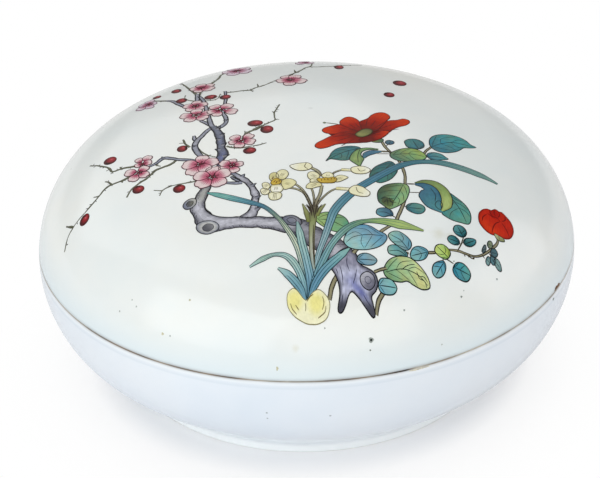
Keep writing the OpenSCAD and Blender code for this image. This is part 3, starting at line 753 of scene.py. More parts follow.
def paint_leaves(art):
    """The leaves of the camellia and of its bud."""
    # Rows of outline, rib, colours, level and side veins
    leaves = [
        ([(30, -4.8), (29.8, -2.6), (30.3, -0.6), (31.6, 1), (33.6, 1.9), (35.6, 2), (37.4, 1.4),
         (38.8, 0.2), (39.7, -1.3), (41, -2.2), (39.4, -3), (38, -3.4), (36.9, -4.9), (35.4, -6.2),
         (33.2, -7), (31.2, -6.5)], [(30.2, -5), (32.6, -3), (35.6, -1.6), (40.6, -2.2)],
         ((60, 126, 146), (82, 160, 156)), 2, 3),
        ([(24, -5), (23.9, -3.6), (25, -2.5), (26.6, -2.2), (27.9, -2.9), (28.5, -4.4), (28.2, -5.9),
         (27, -6.8), (25.5, -6.9), (24.4, -6.2)], [(27.2, -6.8), (26.4, -4.6), (25.8, -2.6)],
         ((56, 112, 124), (66, 126, 122)), 2, 1),
        ([(19.3, -5.3), (19.5, -4.2), (20.4, -3.8), (21.3, -4.3), (21.2, -5.3), (20.2, -5.9)],
         [(20, -5.8), (20.6, -4.4)], (DEEP_BLUE, (60, 104, 120)), 2, 0),
        ([(28.9, -9.4), (29.4, -8.1), (30.8, -7.5), (32.4, -7.9), (33.3, -8.9), (34, -9.8), (32.4, -10.4),
         (31, -10.9), (29.6, -10.6)], [(29, -9.8), (31, -9.2), (33.6, -9.7)],
         ((60, 120, 138), (88, 150, 148)), 2, 1),
        ([(20.2, -11), (20.4, -9.6), (21.6, -8.4), (23.2, -7.3), (25, -6.8), (27, -7.2), (28.3, -8.5),
         (28.8, -10), (28, -11.3), (26.4, -12.2), (24.6, -12.7), (22.6, -12.9), (21, -12.2)],
         [(20.6, -10.6), (23.4, -9.6), (26, -9.4), (28.4, -10)], ((84, 122, 96), (150, 184, 100)), 3, 3),
        ([(15.1, -20.4), (15.5, -18), (16.6, -16), (18.2, -14.5), (19.9, -13.3), (20.9, -13.9),
         (21.5, -15.2), (21.7, -16.9), (21.2, -18.6), (20.2, -20.4), (19, -21.6), (17.4, -22.4),
         (16.1, -21.7)], [(20.6, -13.8), (18.6, -17.4), (17, -22)], ((38, 100, 106), (54, 124, 112)), 3,
         3),
        ([(5, -14.2), (5.8, -12.4), (6.4, -10.6), (7.4, -9), (9, -7.9), (10.8, -7.4), (12.6, -7.6),
         (13.4, -8.4), (12.4, -9.6), (11.4, -11.2), (10.9, -12.6), (10.2, -13.6), (8.6, -13.8), (7, -13.4),
         (6, -13.3)], [(13, -8.3), (10, -9.8), (7.6, -11.6), (5.2, -14)], ((44, 106, 112), (62, 130, 122)),
         2, 3),
        ([(16.7, -28), (16.8, -26), (17.6, -24.2), (19, -22.9), (20.8, -22.2), (22.6, -22), (23.9, -22.6),
         (24.2, -24.4), (23.8, -26.6), (23.2, -28.4), (22, -30), (20.6, -31.2), (19.2, -31.9), (18, -30.8),
         (17, -29.6)], [(22.9, -22.3), (21.6, -26), (19.3, -31.4)],
         ((62, 92, 62), (140, 182, 124), (17.6, -24.4), (23.4, -26.4)), 3, 3),
        ([(33.2, -23.6), (35, -25), (36.9, -27.2), (38, -29.6), (38.1, -31.8), (37.5, -33.4),
         (35.8, -33.6), (33.8, -33.4), (32.3, -32.6), (31.4, -31.4), (32.4, -29), (32.8, -26.4)],
         [(33.4, -24.6), (35.4, -28.6), (37, -33)], ((56, 124, 122), (106, 170, 152)), 2, 3),
        ([(23.2, -30.5), (24, -29.4), (25.5, -29), (27, -29.5), (27.6, -30.8), (27, -32.2), (25.8, -32.8),
         (24.4, -32.4), (23.4, -31.6)], [(23.4, -30.8), (27.2, -30.9)], ((56, 116, 124), (80, 144, 136)),
         2, 1),
        ([(16.2, -33.6), (16.5, -32.2), (17.6, -31.6), (19, -31.7), (19.9, -32.8), (20, -34.2),
         (19, -34.4), (17.8, -34.8), (16.8, -34.3)], [(19.8, -34), (18.2, -33.1), (16.6, -33.2)],
         ((44, 96, 124), (90, 150, 164)), 2, 1),
        ([(2.2, -36), (2.8, -34.6), (4, -33.8), (5.4, -33.7), (6.8, -34.2), (8.2, -34.8), (9.3, -36),
         (9.8, -37.8), (9.2, -39.4), (7.6, -40.4), (5.8, -39.9), (4, -38.6), (2.8, -37.4)],
         [(2.6, -36), (5.6, -36.6), (9, -38.8)], ((158, 192, 118), (104, 160, 118)), 2, 2),
        ([(8.5, -43), (9.3, -40.6), (11, -38.7), (12.8, -37.8), (14.6, -38.1), (16.5, -39.6), (18, -40.5),
         (18.4, -41.8), (17.5, -43.6), (15.8, -44.9), (13.2, -45.7), (10.6, -45.6), (9, -44.6)],
         [(17.8, -41.2), (13.8, -41), (10.6, -42), (9, -43.8)], ((98, 150, 182), (170, 212, 204)), 5, 3),
        ([(11.3, -48.6), (11.8, -47.2), (13.4, -46.6), (15, -47.2), (15.9, -48.2), (15, -49.3),
         (13.4, -49.6), (11.9, -49.3)], [(11.5, -48.3), (15.7, -48.2)], ((110, 154, 178), (138, 180, 192)),
         4, 1),
        ([(16, -53.6), (16.4, -52.2), (17.8, -51.8), (19.2, -52), (20.2, -53.2), (19.4, -54.4),
         (17.6, -54.8), (16.4, -54.5)], [(16.2, -53.4), (20, -53.2)], ((116, 176, 196), (138, 194, 190)),
         4, 1),
        ([(17.3, -50.2), (18, -48.5), (19.2, -47.2), (21, -46.4), (23.2, -46.3), (25, -47.2),
         (26.6, -48.6), (27.5, -49.8), (27.7, -51.2), (26, -52), (24, -51.8), (22.6, -51.4), (21.2, -51.9),
         (19.3, -52), (17.7, -51.4)], [(17.6, -50.6), (21.6, -49.2), (25, -49.6), (27.3, -51)],
         ((122, 166, 124), (222, 228, 162)), 3, 3),
        ([(18.6, -46), (18.5, -44.4), (19.6, -43.6), (21, -43.8), (22.4, -44.7), (22.9, -46.1),
         (21.5, -46.3), (20, -46.4)], [(22.6, -46), (20.8, -45), (18.8, -45.4)],
         ((84, 148, 156), (136, 186, 176)), 4, 1),
        ([(18.7, -40.8), (19.6, -39.6), (21, -39.3), (22.6, -40.4), (23.7, -41.8), (23.9, -43.2),
         (23.2, -44.4), (22, -44.6), (20.4, -43.5), (19.2, -42.3)],
         [(23, -44.2), (21.4, -42), (19.2, -40.6)], ((102, 154, 174), (154, 196, 180)), 5, 2),
        ([(23.5, -45.6), (24.2, -43.8), (25.5, -43), (27, -43.2), (27.7, -44), (26.9, -45.7),
         (25.2, -46.6), (24, -46.5)], [(27.5, -44), (23.8, -45.8)], ((98, 164, 186), (134, 190, 190)), 3,
         2),
        ([(29.2, -42.8), (29.8, -41.6), (31.2, -41.1), (32.5, -41.9), (32.8, -43), (31.8, -44.4),
         (30.4, -44.3), (29.4, -43.7)], [(32.4, -44), (30.6, -42.6), (29.8, -42)],
         ((158, 194, 98), (202, 224, 134)), 3, 2),
        ([(28.4, -47.8), (28.8, -46.4), (30, -45.4), (31.2, -45), (31.6, -46.2), (31, -47.8),
         (29.8, -48.8), (28.8, -48.7)], [(31.2, -45.2), (29.2, -48.5)], ((92, 152, 176), (126, 184, 188)),
         3, 2),
        ([(33.2, -45.9), (34, -44.4), (35.5, -43.8), (36.9, -44.4), (37.3, -45.4), (36.4, -46.8),
         (34.8, -47.2), (33.6, -46.9)], [(33.4, -45.4), (37.2, -45.4)], ((64, 138, 156), (90, 164, 158)),
         3, 2),
        ([(33.8, -36.4), (34.2, -35), (35.4, -34.5), (36.6, -35.2), (36.8, -36.5), (36, -37.6),
         (34.6, -37.5)], [(36, -37.5), (34.8, -35)], (DEEP_TEAL, (92, 150, 152)), 3, 2),
        ([(32.3, -39.2), (32.9, -38.2), (34, -38), (35, -38.8), (34.9, -39.8), (33.8, -40.3), (32.7, -40)],
         [(34.9, -39.3), (32.6, -39.1)], (DEEP_TEAL, (92, 150, 152)), 3, 1),
        ([(36, -38.9), (36.5, -37.8), (37.7, -37.2), (38.9, -37.1), (38.7, -38.2), (37.6, -39.3),
         (36.5, -39.5)], [(36.3, -39.2), (38.7, -37.3)], (DEEP_TEAL, (92, 150, 152)), 3, 1)]
    for outline, rib, colors, level, veins in leaves:
        leaf(art, outline, rib, colors, level, veins)
    pale, dull = (118, 156, 154), (58, 100, 110)
    for outline, inner, outer in (([(41.6, -36.7), (42, -35.8), (42.7, -35.6), (42.8, -36.7),
            (42.3, -37.5), (41.7, -37.4)], (128, 140, 108), (84, 98, 82)),
            ([(42.2, -38.3), (42.6, -37.3), (43.5, -36.9), (44, -37.6), (43.5, -38.6), (42.6, -39)], dull,
            (38, 72, 84)), ([(42.2, -39.2), (42.7, -38.7), (43.3, -39.1), (43.2, -40.1), (42.7, -40.6),
            (42.1, -40.2)], (74, 120, 130), dull),
            ([(43, -39.4), (43.7, -38.7), (44.5, -39.2), (44.7, -40.4), (43.9, -40.8), (43.2, -40.3)],
            pale, (86, 120, 118)),
            ([(41.2, -40.1), (41.8, -39.3), (42.1, -39.8), (42, -40.7), (41.5, -41.4), (41, -41.1)], pale,
            (74, 112, 120)), ([(40.2, -39.2), (40.5, -38.1), (41.1, -37.1), (41.3, -37.9), (40.9, -38.9),
            (40.5, -39.4)], (86, 104, 108), (60, 78, 88))):
        heart = np.mean(outline, axis=0)
        art.fill("camellia_leaves", outline, 3, fade(heart, outline[0], inner, outer, outer, 0.5), (1, 1),
            LEAF_INK, 0.17, grid=0.35)
        art.line([heart * 0.5 + np.array(outline[0]) * 0.5, heart,
            heart * 0.4 + np.array(outline[3]) * 0.6], LEAF_INK, 0.12, 5)
    # Leaves that curl over and show their back
    art.band("camellia_leaves", [(25.6, -21.8), (27.6, -21.9), (29.2, -23.2), (29.1, -26), (29.8, -28.8),
        (31.5, -31.2)], [0.8, 2.2, 3.8, 5.6, 4.2, 0.8], 3,
        along_fade([(40, 92, 122), (44, 108, 132), (46, 112, 132), (64, 134, 142), (70, 134, 140)],
        DEEP_BLUE, 0.4), LEAF_INK, columns=6)
    art.band("camellia_leaves", [(25.6, -21.4), (27.8, -20.5), (30.2, -20.9), (32, -22.9), (32.8, -26),
        (32.5, -28.8), (31.5, -30.8)], [0.3, 1.3, 2.1, 2.4, 2.6, 2.5, 0.5], 4,
        along_fade([(84, 112, 60), (120, 144, 80), (136, 164, 88), (172, 192, 112), (168, 188, 108)],
        OLIVE, 0.4), LEAF_INK, columns=6)
    art.loop([(30, -28.4), (30.8, -27.2), (31.6, -27.8), (31.6, -29.4), (31, -30.4), (30.2, -29.6)],
        LEAF_INK, 0.16, 5)
    art.line([(29.2, -22.8), (30.2, -25.2), (30, -27.6)], LEAF_INK, 0.16, 3.6)
    art.band("camellia_leaves", [(17.5, -8.4), (15, -8.4), (13.2, -9.3), (12.3, -11), (12.3, -13.2),
        (12.9, -16)], [0.4, 0.9, 1.4, 2.1, 3.6, 0.4], 4,
        along_fade([(84, 122, 72), (108, 146, 84), (122, 156, 86), (146, 170, 96), (120, 150, 88)],
        DEEP_GREEN, 0.45), LEAF_INK, columns=6)
    art.band("camellia_leaves", [(18.2, -9.3), (16.2, -9.8), (14.7, -10.8), (13.9, -12.6)],
        [0.5, 1.7, 1.7, 0.5], 3, along_fade([(72, 126, 150), (46, 100, 128), (60, 118, 136)], DEEP_BLUE,
        0.3), LEAF_INK, columns=4)
    art.line([(13.2, -8.7), (12.6, -11.4), (12.6, -14.6)], LEAF_INK, 0.16, 4.6)
    art.fill("camellia_leaves", [(17.6, -29.4), (18, -28.2), (19.2, -28), (20.4, -28.6), (20.2, -30),
        (19, -31)], 5, fade((18, -28), (20, -31), (58, 72, 32), (84, 104, 50)), (1, 0), None)
    art.lines(([(24.8, -49), (25.4, -50.2), (26.6, -50.4), (27, -51.4)],
        [(25.6, -49.8), (26.4, -49.6), (27.2, -50.4)], [(17.6, -28.4), (18.4, -27.8), (19.6, -28.2),
        (20.6, -27.8)], [(18, -29.8), (18.9, -28.4), (19, -30.6)],
        [(18.2, -29.4), (19.2, -29), (20.2, -29.8), (19.8, -31)],
        [(19.4, -27.8), (19.8, -29.2), (21, -29.4)], [(21.4, -49.4), (22.8, -48.2), (24.4, -47.6)]),
        LEAF_INK, 0.16, 6)


def paint_narcissus(art):
    """The narcissus: blades, stalks, bulbs and flowers."""
    # Blades are rows of path, widths in millimetres, colours, level and the edge's colour
    low, light = (110, 154, 178), (178, 210, 204)
    blades = [
        ([(0, -57.2), (0.8, -53.6), (1.9, -50), (3, -46), (4.3, -41.6), (5.5, -37), (6.6, -33.2), (9, -29),
         (12.2, -24.9), (15.4, -21.6), (18.8, -18.2), (22, -15.2), (25.4, -13.1), (29, -12), (33, -11.9),
         (37, -12.9), (41, -14.5), (45.2, -16.7)], [0.5, 1.1, 1.1, 1.3, 1.6, 1.8, 2.1, 2.2, 2.0, 2.0, 2.0,
         1.9, 1.6, 1.7, 2.2, 2.2, 2.0, 0.5], [low, (156, 186, 194), (152, 182, 190), (100, 150, 166),
         (72, 132, 156), (66, 126, 152), (58, 116, 138), (78, 134, 140), (118, 156, 150), (124, 162, 152)],
         4),
        ([(-0.2, -57.2), (0, -54), (-0.9, -50), (-2.2, -44.4), (-4.2, -39.4), (-6.6, -34.8), (-9.6, -31),
         (-13, -29), (-17, -26.9), (-20.6, -24.9), (-22.8, -23.8)], [0.5, 1.5, 1.5, 1.5, 1.3, 1.0, 1.1,
         1.5, 1.8, 1.5, 0.4], [low, (150, 182, 180), (200, 212, 192), (208, 216, 190), (198, 206, 176),
         (150, 166, 140), (76, 130, 158), (88, 150, 166), (124, 186, 176), (92, 158, 152)], 5),
        ([(-0.1, -57.4), (0.7, -54), (0, -49.4), (-0.9, -44.6), (-1.5, -40.4), (-2, -36.8)],
         [0.5, 1.9, 1.8, 1.8, 1.7, 0.5], [low, (120, 162, 186), (150, 190, 198), (162, 198, 194),
         (172, 206, 198), (138, 170, 170)], 6),
        ([(0.1, -57.3), (1.4, -54.2), (3.6, -49), (6, -43.8), (8.6, -39.9), (11.2, -37.6), (14, -36.5),
         (17.6, -36.3), (21.6, -37), (26.9, -38.3)], [0.5, 1.5, 1.6, 1.6, 1.8, 1.7, 1.2, 2.0, 3.0, 0.4],
         [low, (112, 158, 174), (124, 172, 180), (136, 182, 178), (104, 152, 130), (150, 184, 106),
         (172, 196, 112), (156, 180, 100)], 6, (74, 112, 96)),
        ([(0.1, -57.4), (1.6, -54.4), (3.6, -51.6), (5.8, -49.3), (8.2, -47), (9.7, -45.5)],
         [0.5, 1.6, 1.9, 2.0, 1.7, 0.4], [low, (108, 154, 180), (124, 174, 184), (142, 190, 180)], 7),
        ([(-0.4, -57.4), (-0.8, -54.6), (-1.8, -51.6), (-3.2, -49), (-5, -47.3), (-7.4, -46.9),
         (-10, -47.8), (-13, -49.4)], [0.5, 1.4, 1.5, 1.7, 1.4, 0.9, 1.3, 0.4],
         [low, (146, 188, 196), (174, 204, 196), light, (164, 196, 182), light], 6, (88, 134, 136)),
        ([(-0.5, -57.5), (-1.4, -55.4), (-2.8, -53.6), (-4.6, -51.8), (-6.6, -50.4)],
         [0.5, 1.5, 1.8, 1.6, 0.4], [low, (126, 172, 186), light], 7, (88, 134, 136))]
    for values in blades:
        blade(art, *values)
    # Flower stalk with its sheath
    art.band("narcissus_stalks", [(1.4, -51), (1.2, -46), (1.3, -40), (1.6, -36), (2, -31.4)],
        [0.8, 1.1, 1.3, 1.6, 1.8], 5,
        along_fade([(158, 178, 174), (182, 186, 170), (168, 174, 136), (132, 142, 86), (76, 68, 44)],
        (84, 82, 50), 0.35), (78, 74, 46), 0.18, columns=4)
    for path, widths in (([(0.6, -37), (0.2, -34), (-0.7, -30.6)], [0.8, 1.2, 0.2]),
            ([(2.6, -35), (3.2, -33), (4.6, -30.8)], [0.8, 1.0, 0.2])):
        art.band("narcissus_stalks", path, widths, 6, along_fade([(118, 126, 52), (160, 164, 116)],
            (96, 96, 56), 0.5), (88, 86, 56), 0.14, columns=2)
    for path, w in (([(1.7, -33.7), (1.2, -30.9), (0.3, -27.7), (-0.9, -25), (-2.3, -23.2)], 0.5),
            ([(1.6, -33.2), (0.9, -30.4), (-0.2, -26.9), (-1.9, -25.2), (-3.7, -24.6)], 0.5),
            ([(2, -32.4), (2.5, -29.9), (3.4, -27.3), (3.9, -24)], 0.7),
            ([(1.8, -31.9), (2, -29.4), (1.8, -26.7), (1.5, -25.1)], 0.4),
            ([(2.3, -31.9), (3.5, -29.4), (5.1, -27), (6.4, -25.7), (7.4, -25.1)], 0.4),
            ([(6, -20.4), (6.9, -18.9), (8.8, -17.7)], 0.4),
            ([(3.7, -20.4), (3.2, -18.6), (2.2, -17.5), (1.2, -16.8)], 0.8)):
        art.band("narcissus_stalks", path, np.full(len(path), w), 5,
            along_fade([(110, 100, 76), (168, 164, 136), (184, 180, 142)], (96, 88, 64), 0.5),
            (58, 50, 36), 0.15, columns=2)
    art.lines(([(2, -35.8), (1.8, -33.4), (1.2, -31.4)], [(1.4, -35), (1.1, -32.6), (0.2, -30.8)],
        [(2.2, -34.6), (2.4, -32.6), (2.6, -30.8)], [(2.6, -34), (3, -32.4), (3.8, -31)],
        [(1, -33.6), (0.6, -32), (0, -31.2)], [(1.6, -50), (1.5, -44), (1.7, -38)]), (54, 42, 30), 0.26, 7,
        0.7)
    # Bulbs
    bulbs = [(-3.2, -54.9), (-4.4, -55.6), (-4.7, -56.8), (-4.4, -58.2), (-3, -59.5), (-0.8, -60.4),
        (0.7, -60.6), (2.4, -60.5), (4.2, -59.7), (4.9, -57.9), (4.4, -56.6), (2.6, -55.3), (1, -55.9),
        (-0.2, -57.1), (-1.1, -56.7), (-2.2, -55.5)]

    def bulb_shade(points, share):
        near = np.minimum(*[np.linalg.norm((points - lit) / (2.4, 2.2), axis=1)
            for lit in ((-3, -57), (1.9, -57.6))])
        return mix(YELLOW, (243, 240, 202), smooth((near - 0.35) / 0.8)) + tone(points, 0.9, 4)
    art.fill("narcissus_bulbs", bulbs, 8, bulb_shade, (0, 1), (138, 132, 92), 0.15)
    art.lines(([(-3.9, -57.5), (-3.6, -58.3), (-2.6, -59.2)], [(-2.8, -57.8), (-2.1, -58.6)],
        [(-0.6, -57.6), (-0.5, -58.2), (-0.6, -58.8)], [(3.3, -56.5), (3.6, -57.5), (3.2, -58.6)],
        [(4, -58), (3.8, -58.9), (2.2, -59.8)], [(-0.2, -57.3), (0.4, -56.6), (1.2, -56.1)]),
        (112, 98, 48), 0.17, 9)
    # Flowers and buds
    left, right = (-6.7, -22), (5, -22)
    petals = [
        (left, (210, 202, 142), [(-8.3, -20.4), (-8.1, -18.9), (-7.1, -18.2), (-6.3, -19), (-6.1, -20.4),
         (-7, -21.4), (-7.8, -21.6)]),
        (left, (232, 227, 184), [(-6.7, -19.7), (-6.4, -18.2), (-5.4, -17.3), (-4.3, -17.7), (-3.8, -19),
         (-4.2, -20.4), (-5.1, -21.3), (-6.1, -20.9)]),
        (left, (230, 224, 172), [(-5.5, -22), (-4.5, -21.1), (-3.1, -21.2), (-2, -22.5), (-2.6, -23.9),
         (-3.8, -24.9), (-4.9, -25.1), (-5.4, -23.6)]),
        (left, (238, 234, 200), [(-10, -22.6), (-9.4, -22), (-8.5, -22.4), (-8.1, -23.6), (-8.7, -24.8),
         (-9.6, -24.4)]),
        (left, (240, 236, 206), [(-10.4, -25), (-9.8, -24.2), (-8.8, -24.6), (-8.2, -25.5), (-8.8, -26.6),
         (-9.9, -26.5)]),
        (left, (240, 237, 206), [(-8.5, -27.6), (-8.4, -26.3), (-7.3, -25.9), (-6, -26), (-5.4, -27.1),
         (-5.9, -28.5), (-7, -28.9), (-8, -28.7)]),
        (left, (246, 245, 232), [(-8.1, -24.5), (-7.7, -23.3), (-6.7, -23), (-5.5, -23.5), (-5.1, -25),
         (-5.8, -26.1), (-7, -26.4), (-7.9, -25.7)]),
        (right, (236, 232, 198), [(0.6, -19.8), (1.1, -18.7), (2.1, -18.5), (3, -19.2), (3.5, -20.4),
         (2.8, -21.7), (1.8, -21.9), (0.9, -21.2)]),
        (right, (232, 226, 182), [(0.2, -24.8), (0.5, -23.6), (1.3, -22.8), (2.3, -22.6), (3.5, -23),
         (3.9, -24.1), (2.5, -24.7), (1.3, -25.2)]),
        (right, (238, 234, 200), [(1.1, -22.1), (1.9, -21.2), (3, -21.3), (3.6, -22.1), (3, -22.9),
         (1.8, -23)]),
        (right, (240, 236, 200), [(3.9, -20.3), (4.6, -19.2), (5.6, -18.8), (6.4, -19.4), (6.8, -20.5),
         (5.8, -21.2), (4.6, -21.2)]),
        (right, (236, 230, 186), [(6.7, -21.4), (7.5, -20.3), (8.7, -20), (10.1, -20.8), (9.3, -21.6),
         (8.1, -22.5), (7, -22.6)])]
    for number, (heart, color, outline) in enumerate(petals):
        middle = np.mean(outline, axis=0)
        art.fill("narcissus_flowers", outline, 6 + 0.3 * number, fade(heart, middle, (196, 184, 112),
            color, (216, 210, 160), 0.75), (1, 0), (70, 62, 34), 0.15)
        way = middle - heart
        side = left_of(unit(way))
        for k in (-0.4, 0, 0.4):
            art.line([middle - way * 0.25 + side * k * 0.6, middle + way * 0.22 + side * k],
                (120, 108, 62), 0.12, 6.2 + 0.3 * number, 0.8)
    for outline in ([(-8, -22.4), (-7.5, -21.2), (-6.6, -20.6), (-5.9, -21.1), (-5.4, -22), (-5.8, -23),
            (-6.7, -23.2), (-7.5, -23.3)], [(2.7, -21.8), (3.3, -21.2), (4.2, -21.3), (4.8, -20.9),
            (5.5, -21.2), (6.2, -20.8), (7.2, -21), (7.5, -21.8), (6.8, -22.9), (5.1, -23.1),
            (3.5, -22.9)]):
        art.fill("narcissus_flowers", outline, 10.2, fade(outline[0], outline[4], (214, 180, 52),
            (190, 158, 40), (150, 122, 40), 0.8), (1, 0), (78, 62, 20), 0.14)
    art.lines(([(-7.4, -22.3), (-6.8, -21.5)], [(-6.4, -21.8), (-6.8, -22.7)],
        [(-7.7, -20.9), (-7.3, -20.2)], [(-6, -21.4), (-6, -22.2)], [(3.8, -21.7), (3.9, -22.3)],
        [(4.5, -21.4), (4.7, -22)], [(5.3, -21.4), (5.4, -22)], [(6.1, -21.2), (6.2, -21.8)],
        [(6.9, -21.2), (6.8, -21.7)]), (110, 74, 16), 0.26, 11, 0.5)
    for outline, tip in (([(-3.5, -15.9), (-2.2, -15.2), (-0.6, -14.9), (0.8, -14.9), (1.7, -15.9),
            (1.6, -17), (0.6, -17.8), (-1, -18), (-2.4, -17.4)], (-3, -16)),
            ([(10.8, -17.8), (11, -16.8), (12.4, -16.2), (14, -16.2), (15.3, -17.2), (15, -18.4),
            (13.8, -19.1), (12.2, -19.2), (11.2, -18.7)], (15, -17)),
            ([(10.1, -25.6), (10.8, -24.4), (11.8, -23.8), (13.2, -24.2), (14.2, -25.2), (15, -26.3),
            (14.6, -27.6), (13, -27.9), (11.4, -27.4), (10.4, -26.8)], (15, -27))):
        base = np.mean(outline, axis=0)
        art.fill("narcissus_flowers", outline, 7, fade(base, tip, (238, 234, 196), (246, 245, 228)),
            (1, 0), FLOWER_INK, 0.2)
    for path, w in (([(8.6, -17.7), (11, -17.8)], 0.9), ([(7.2, -25.1), (10.4, -25.3)], 1.0)):
        art.band("narcissus_flowers", path, np.full(2, w), 6, along_fade([(222, 214, 150), CREAM], None),
            FLOWER_INK, 0.14, columns=2)
    art.lines(([(0.4, -15), (0, -16.4), (0.8, -17.6)], [(12.4, -17), (13, -18.2), (14.2, -17.6)],
        [(11.8, -24.4), (12.2, -26.2), (13.4, -26.8)]), FLOWER_INK, 0.17, 9)


def whole():
    """The whole painting. Every run makes the same random draws."""
    art = Painting()
    paint_prunus(art)
    paint_camellia(art)
    paint_leaves(art)
    paint_narcissus(art)
    paint_blossoms(art)
    return art


# Surfaces of the object

def dome(points):
    """Places on the lid's glaze, and their normals, above points of the plan."""
    x, y = points[:, 0], points[:, 1]
    r = np.maximum(np.hypot(x, y), 1e-6)
    on_crown = r < CROWN_EDGE
    center = np.where(on_crown, 0.0, BULGE_X)
    level = np.where(on_crown, CROWN_Z, BELLY_H)
    reach = np.where(on_crown, CROWN_R, BELLY_R) - SKIN
    rise = np.sqrt(np.maximum(reach ** 2 - (r - center) ** 2, 0.01))
    out = (r - center) / reach
    normals = np.stack([out * x / r, out * y / r, rise / reach], axis=1)
    return np.stack([x, y, level + rise], axis=1), normals


def linear(colors):
    """Colours from 0 to 255 as they look, turned into linear light with a full alpha."""
    c = np.clip(np.asarray(colors, float) / 255, 0, 1)
    c = np.where(c <= 0.04045, c / 12.92, ((c + 0.055) / 1.055) ** 2.4)
    return np.concatenate([c, np.ones((len(c), 1))], axis=1)


def lit(r, g, b):
    """One colour from 0 to 255 as a shader takes it."""
    return tuple(linear([(r, g, b)])[0])


def new_object(name, vertices, faces, body, material, normals=None):
    """A smooth piece that rides a body. Its vertices are given in millimetres."""
    mesh = bpy.data.meshes.new(name)
    mesh.from_pydata([tuple(v) for v in np.asarray(vertices) * MM], [], faces)
    mesh.polygons.foreach_set("use_smooth", [True] * len(mesh.polygons))
    mesh.materials.append(material)
    if normals is not None:
        mesh.normals_split_custom_set_from_vertices([tuple(n) for n in normals])
    piece = bpy.data.objects.new(name, mesh)
    bpy.context.scene.collection.objects.link(piece)
    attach(piece, body)
    return piece


def painted(name, vertices, faces, normals, colors, brush, body, slot, material):
    """A piece whose vertices carry their own colour and their place along the brush."""
    piece = new_object(name, vertices, faces, body, material, normals)
    mesh = piece.data
    paint = mesh.color_attributes.new("enamel", "FLOAT_COLOR", "POINT")
    paint.data.foreach_set("color", linear(colors).ravel())
    mesh.color_attributes.active_color = paint
    corners = np.zeros(len(mesh.loops), int)
    mesh.loops.foreach_get("vertex_index", corners)
    layer = mesh.uv_layers.new(name="brush")
    layer.data.foreach_set("uv", brush[corners].ravel())


def enamel_piece(name, shells, material, tilt):
    """One closed mesh of all the shells of a coat, laid on the dome. Its edges slope by the tilt."""
    vertices, normals, faces, colors, brush = [], [], [], [], []
    start = 0
    for _, points, tops, rim, shade, along, level in shells:
        count = len(points)
        area = 0.0
        for face in tops:
            p = points[list(face)]
            q = np.roll(p, -1, 0)
            area += (p[:, 0] * q[:, 1] - q[:, 0] * p[:, 1]).sum()
        ring = count // 2
        edges = [list(range(ring, count)), list(range(ring - 1, -1, -1))] if rim is None else [list(rim)]
        if area < 0:
            tops = [face[::-1] for face in tops]
            edges = [edge[::-1] for edge in edges]
        place, up = dome(points)
        lean = up.copy()
        for edge in edges:
            p = points[edge]
            lean[edge, :2] -= tilt * left_of(unit(np.roll(p, -1, 0) - np.roll(p, 1, 0)))
        lean = unit(lean)
        vertices += [place + up * (ENAMEL_LIFT + ENAMEL_STEP * level), place - up * ENAMEL_SUNK]
        normals += [lean, up]
        for face in tops:
            faces.append([start + i for i in face])
            faces.append([start + count + i for i in face[::-1]])
        for edge in edges:
            for a, b in zip(edge, edge[1:] + edge[:1]):
                faces.append([start + count + a, start + count + b, start + b, start + a])
        colors += [shade, shade]
        brush += [along, along]
        start += 2 * count
    stacks = [np.concatenate(part) for part in (vertices, normals, colors, brush)]
    painted(name, stacks[0], faces, *stacks[1:], "cover", "lid_glaze", material)


def arc(cx, cz, r, start, end, steps):
    """Points (radius, height) on a circle about cx, cz. The angles are in radians."""
    turn = np.linspace(start, end, steps + 1)
    return [(cx + r * math.cos(a), cz + r * math.sin(a)) for a in turn]


def rise_angle(r, z):
    """The angle at which the bulge's circle of radius r passes a height."""
    return math.asin((z - BELLY_H) / r)


def bulge_at(r, z):
    """How far from the axis the bulge's circle of radius r passes a height."""
    return BULGE_X + r * math.cos(rise_angle(r, z))


def seam_dirt(turn):
    """How much of the seam's dirt shows at an angle from the front, towards the right."""
    share = 0.8 - 0.35 * float(smooth((abs(turn) - 35) / 45))
    # A short stretch at the front is thick with it, and the seam is nearly clean just past it
    if 14.5 < turn < 20.5:
        share = 1.0
    return share - 0.55 * math.exp(-((turn - 22.5) / 1.3) ** 2)


def glaze_depth_and_painted_light(slot, z):
    """How much of the second tone shows at a height. Below zero it is the cool tone of pooled glaze."""
    if slot != "base_glaze":
        return max(0.0, 1 - (z - SEAM_H) / 11) ** 1.3
    # On the bowl the second tone is whiter: painted lighter towards the foot as painted light where the
    # belly shades it, and in a thin band under the seam
    foot = 0.65 * smooth((3.8 - z) / 2.2) + 0.35 * smooth((12 - z) / 7)
    return float(foot + 0.5 * smooth((z - 32.2) / 0.6)) - 0.25 * math.exp(-((z - 31.7) / 0.28) ** 2)


def turned(name, profile, body, slot, material, segments=360, push=None):
    """A closed body of revolution. The profile's points are (radius, height, soil, bare)."""
    vertices, faces, marks, rows = [], [], [], []
    seam = [seam_dirt((360 * k / segments + 270) % 360 - 180) for k in range(segments)]
    for r, z, soil, bare in profile:
        depth_and_painted_light = glaze_depth_and_painted_light(slot, z)
        count = segments if r > 1e-6 else 1
        rows.append(range(len(vertices), len(vertices) + count))
        for k in range(count):
            a = 2 * math.pi * k / segments
            vertices.append((r * math.cos(a), r * math.sin(a), z))
            marks.append((soil * seam[k] if soil > 0.85 else soil, bare, depth_and_painted_light, 1))
    for low, high in zip(rows, rows[1:]):
        if len(low) == len(high) == 1:
            continue
        for k in range(segments):
            n = (k + 1) % segments
            if len(low) == 1:
                faces.append((low[0], high[n], high[k]))
            elif len(high) == 1:
                faces.append((low[k], low[n], high[0]))
            else:
                faces.append((low[k], low[n], high[n], high[k]))
    if push is not None:
        vertices = [push(*v) for v in vertices]
    piece = new_object(name, vertices, faces, body, material)
    layer = piece.data.color_attributes.new("marks", "FLOAT_COLOR", "POINT")
    layer.data.foreach_set("color", np.array(marks, float).ravel())
    return piece


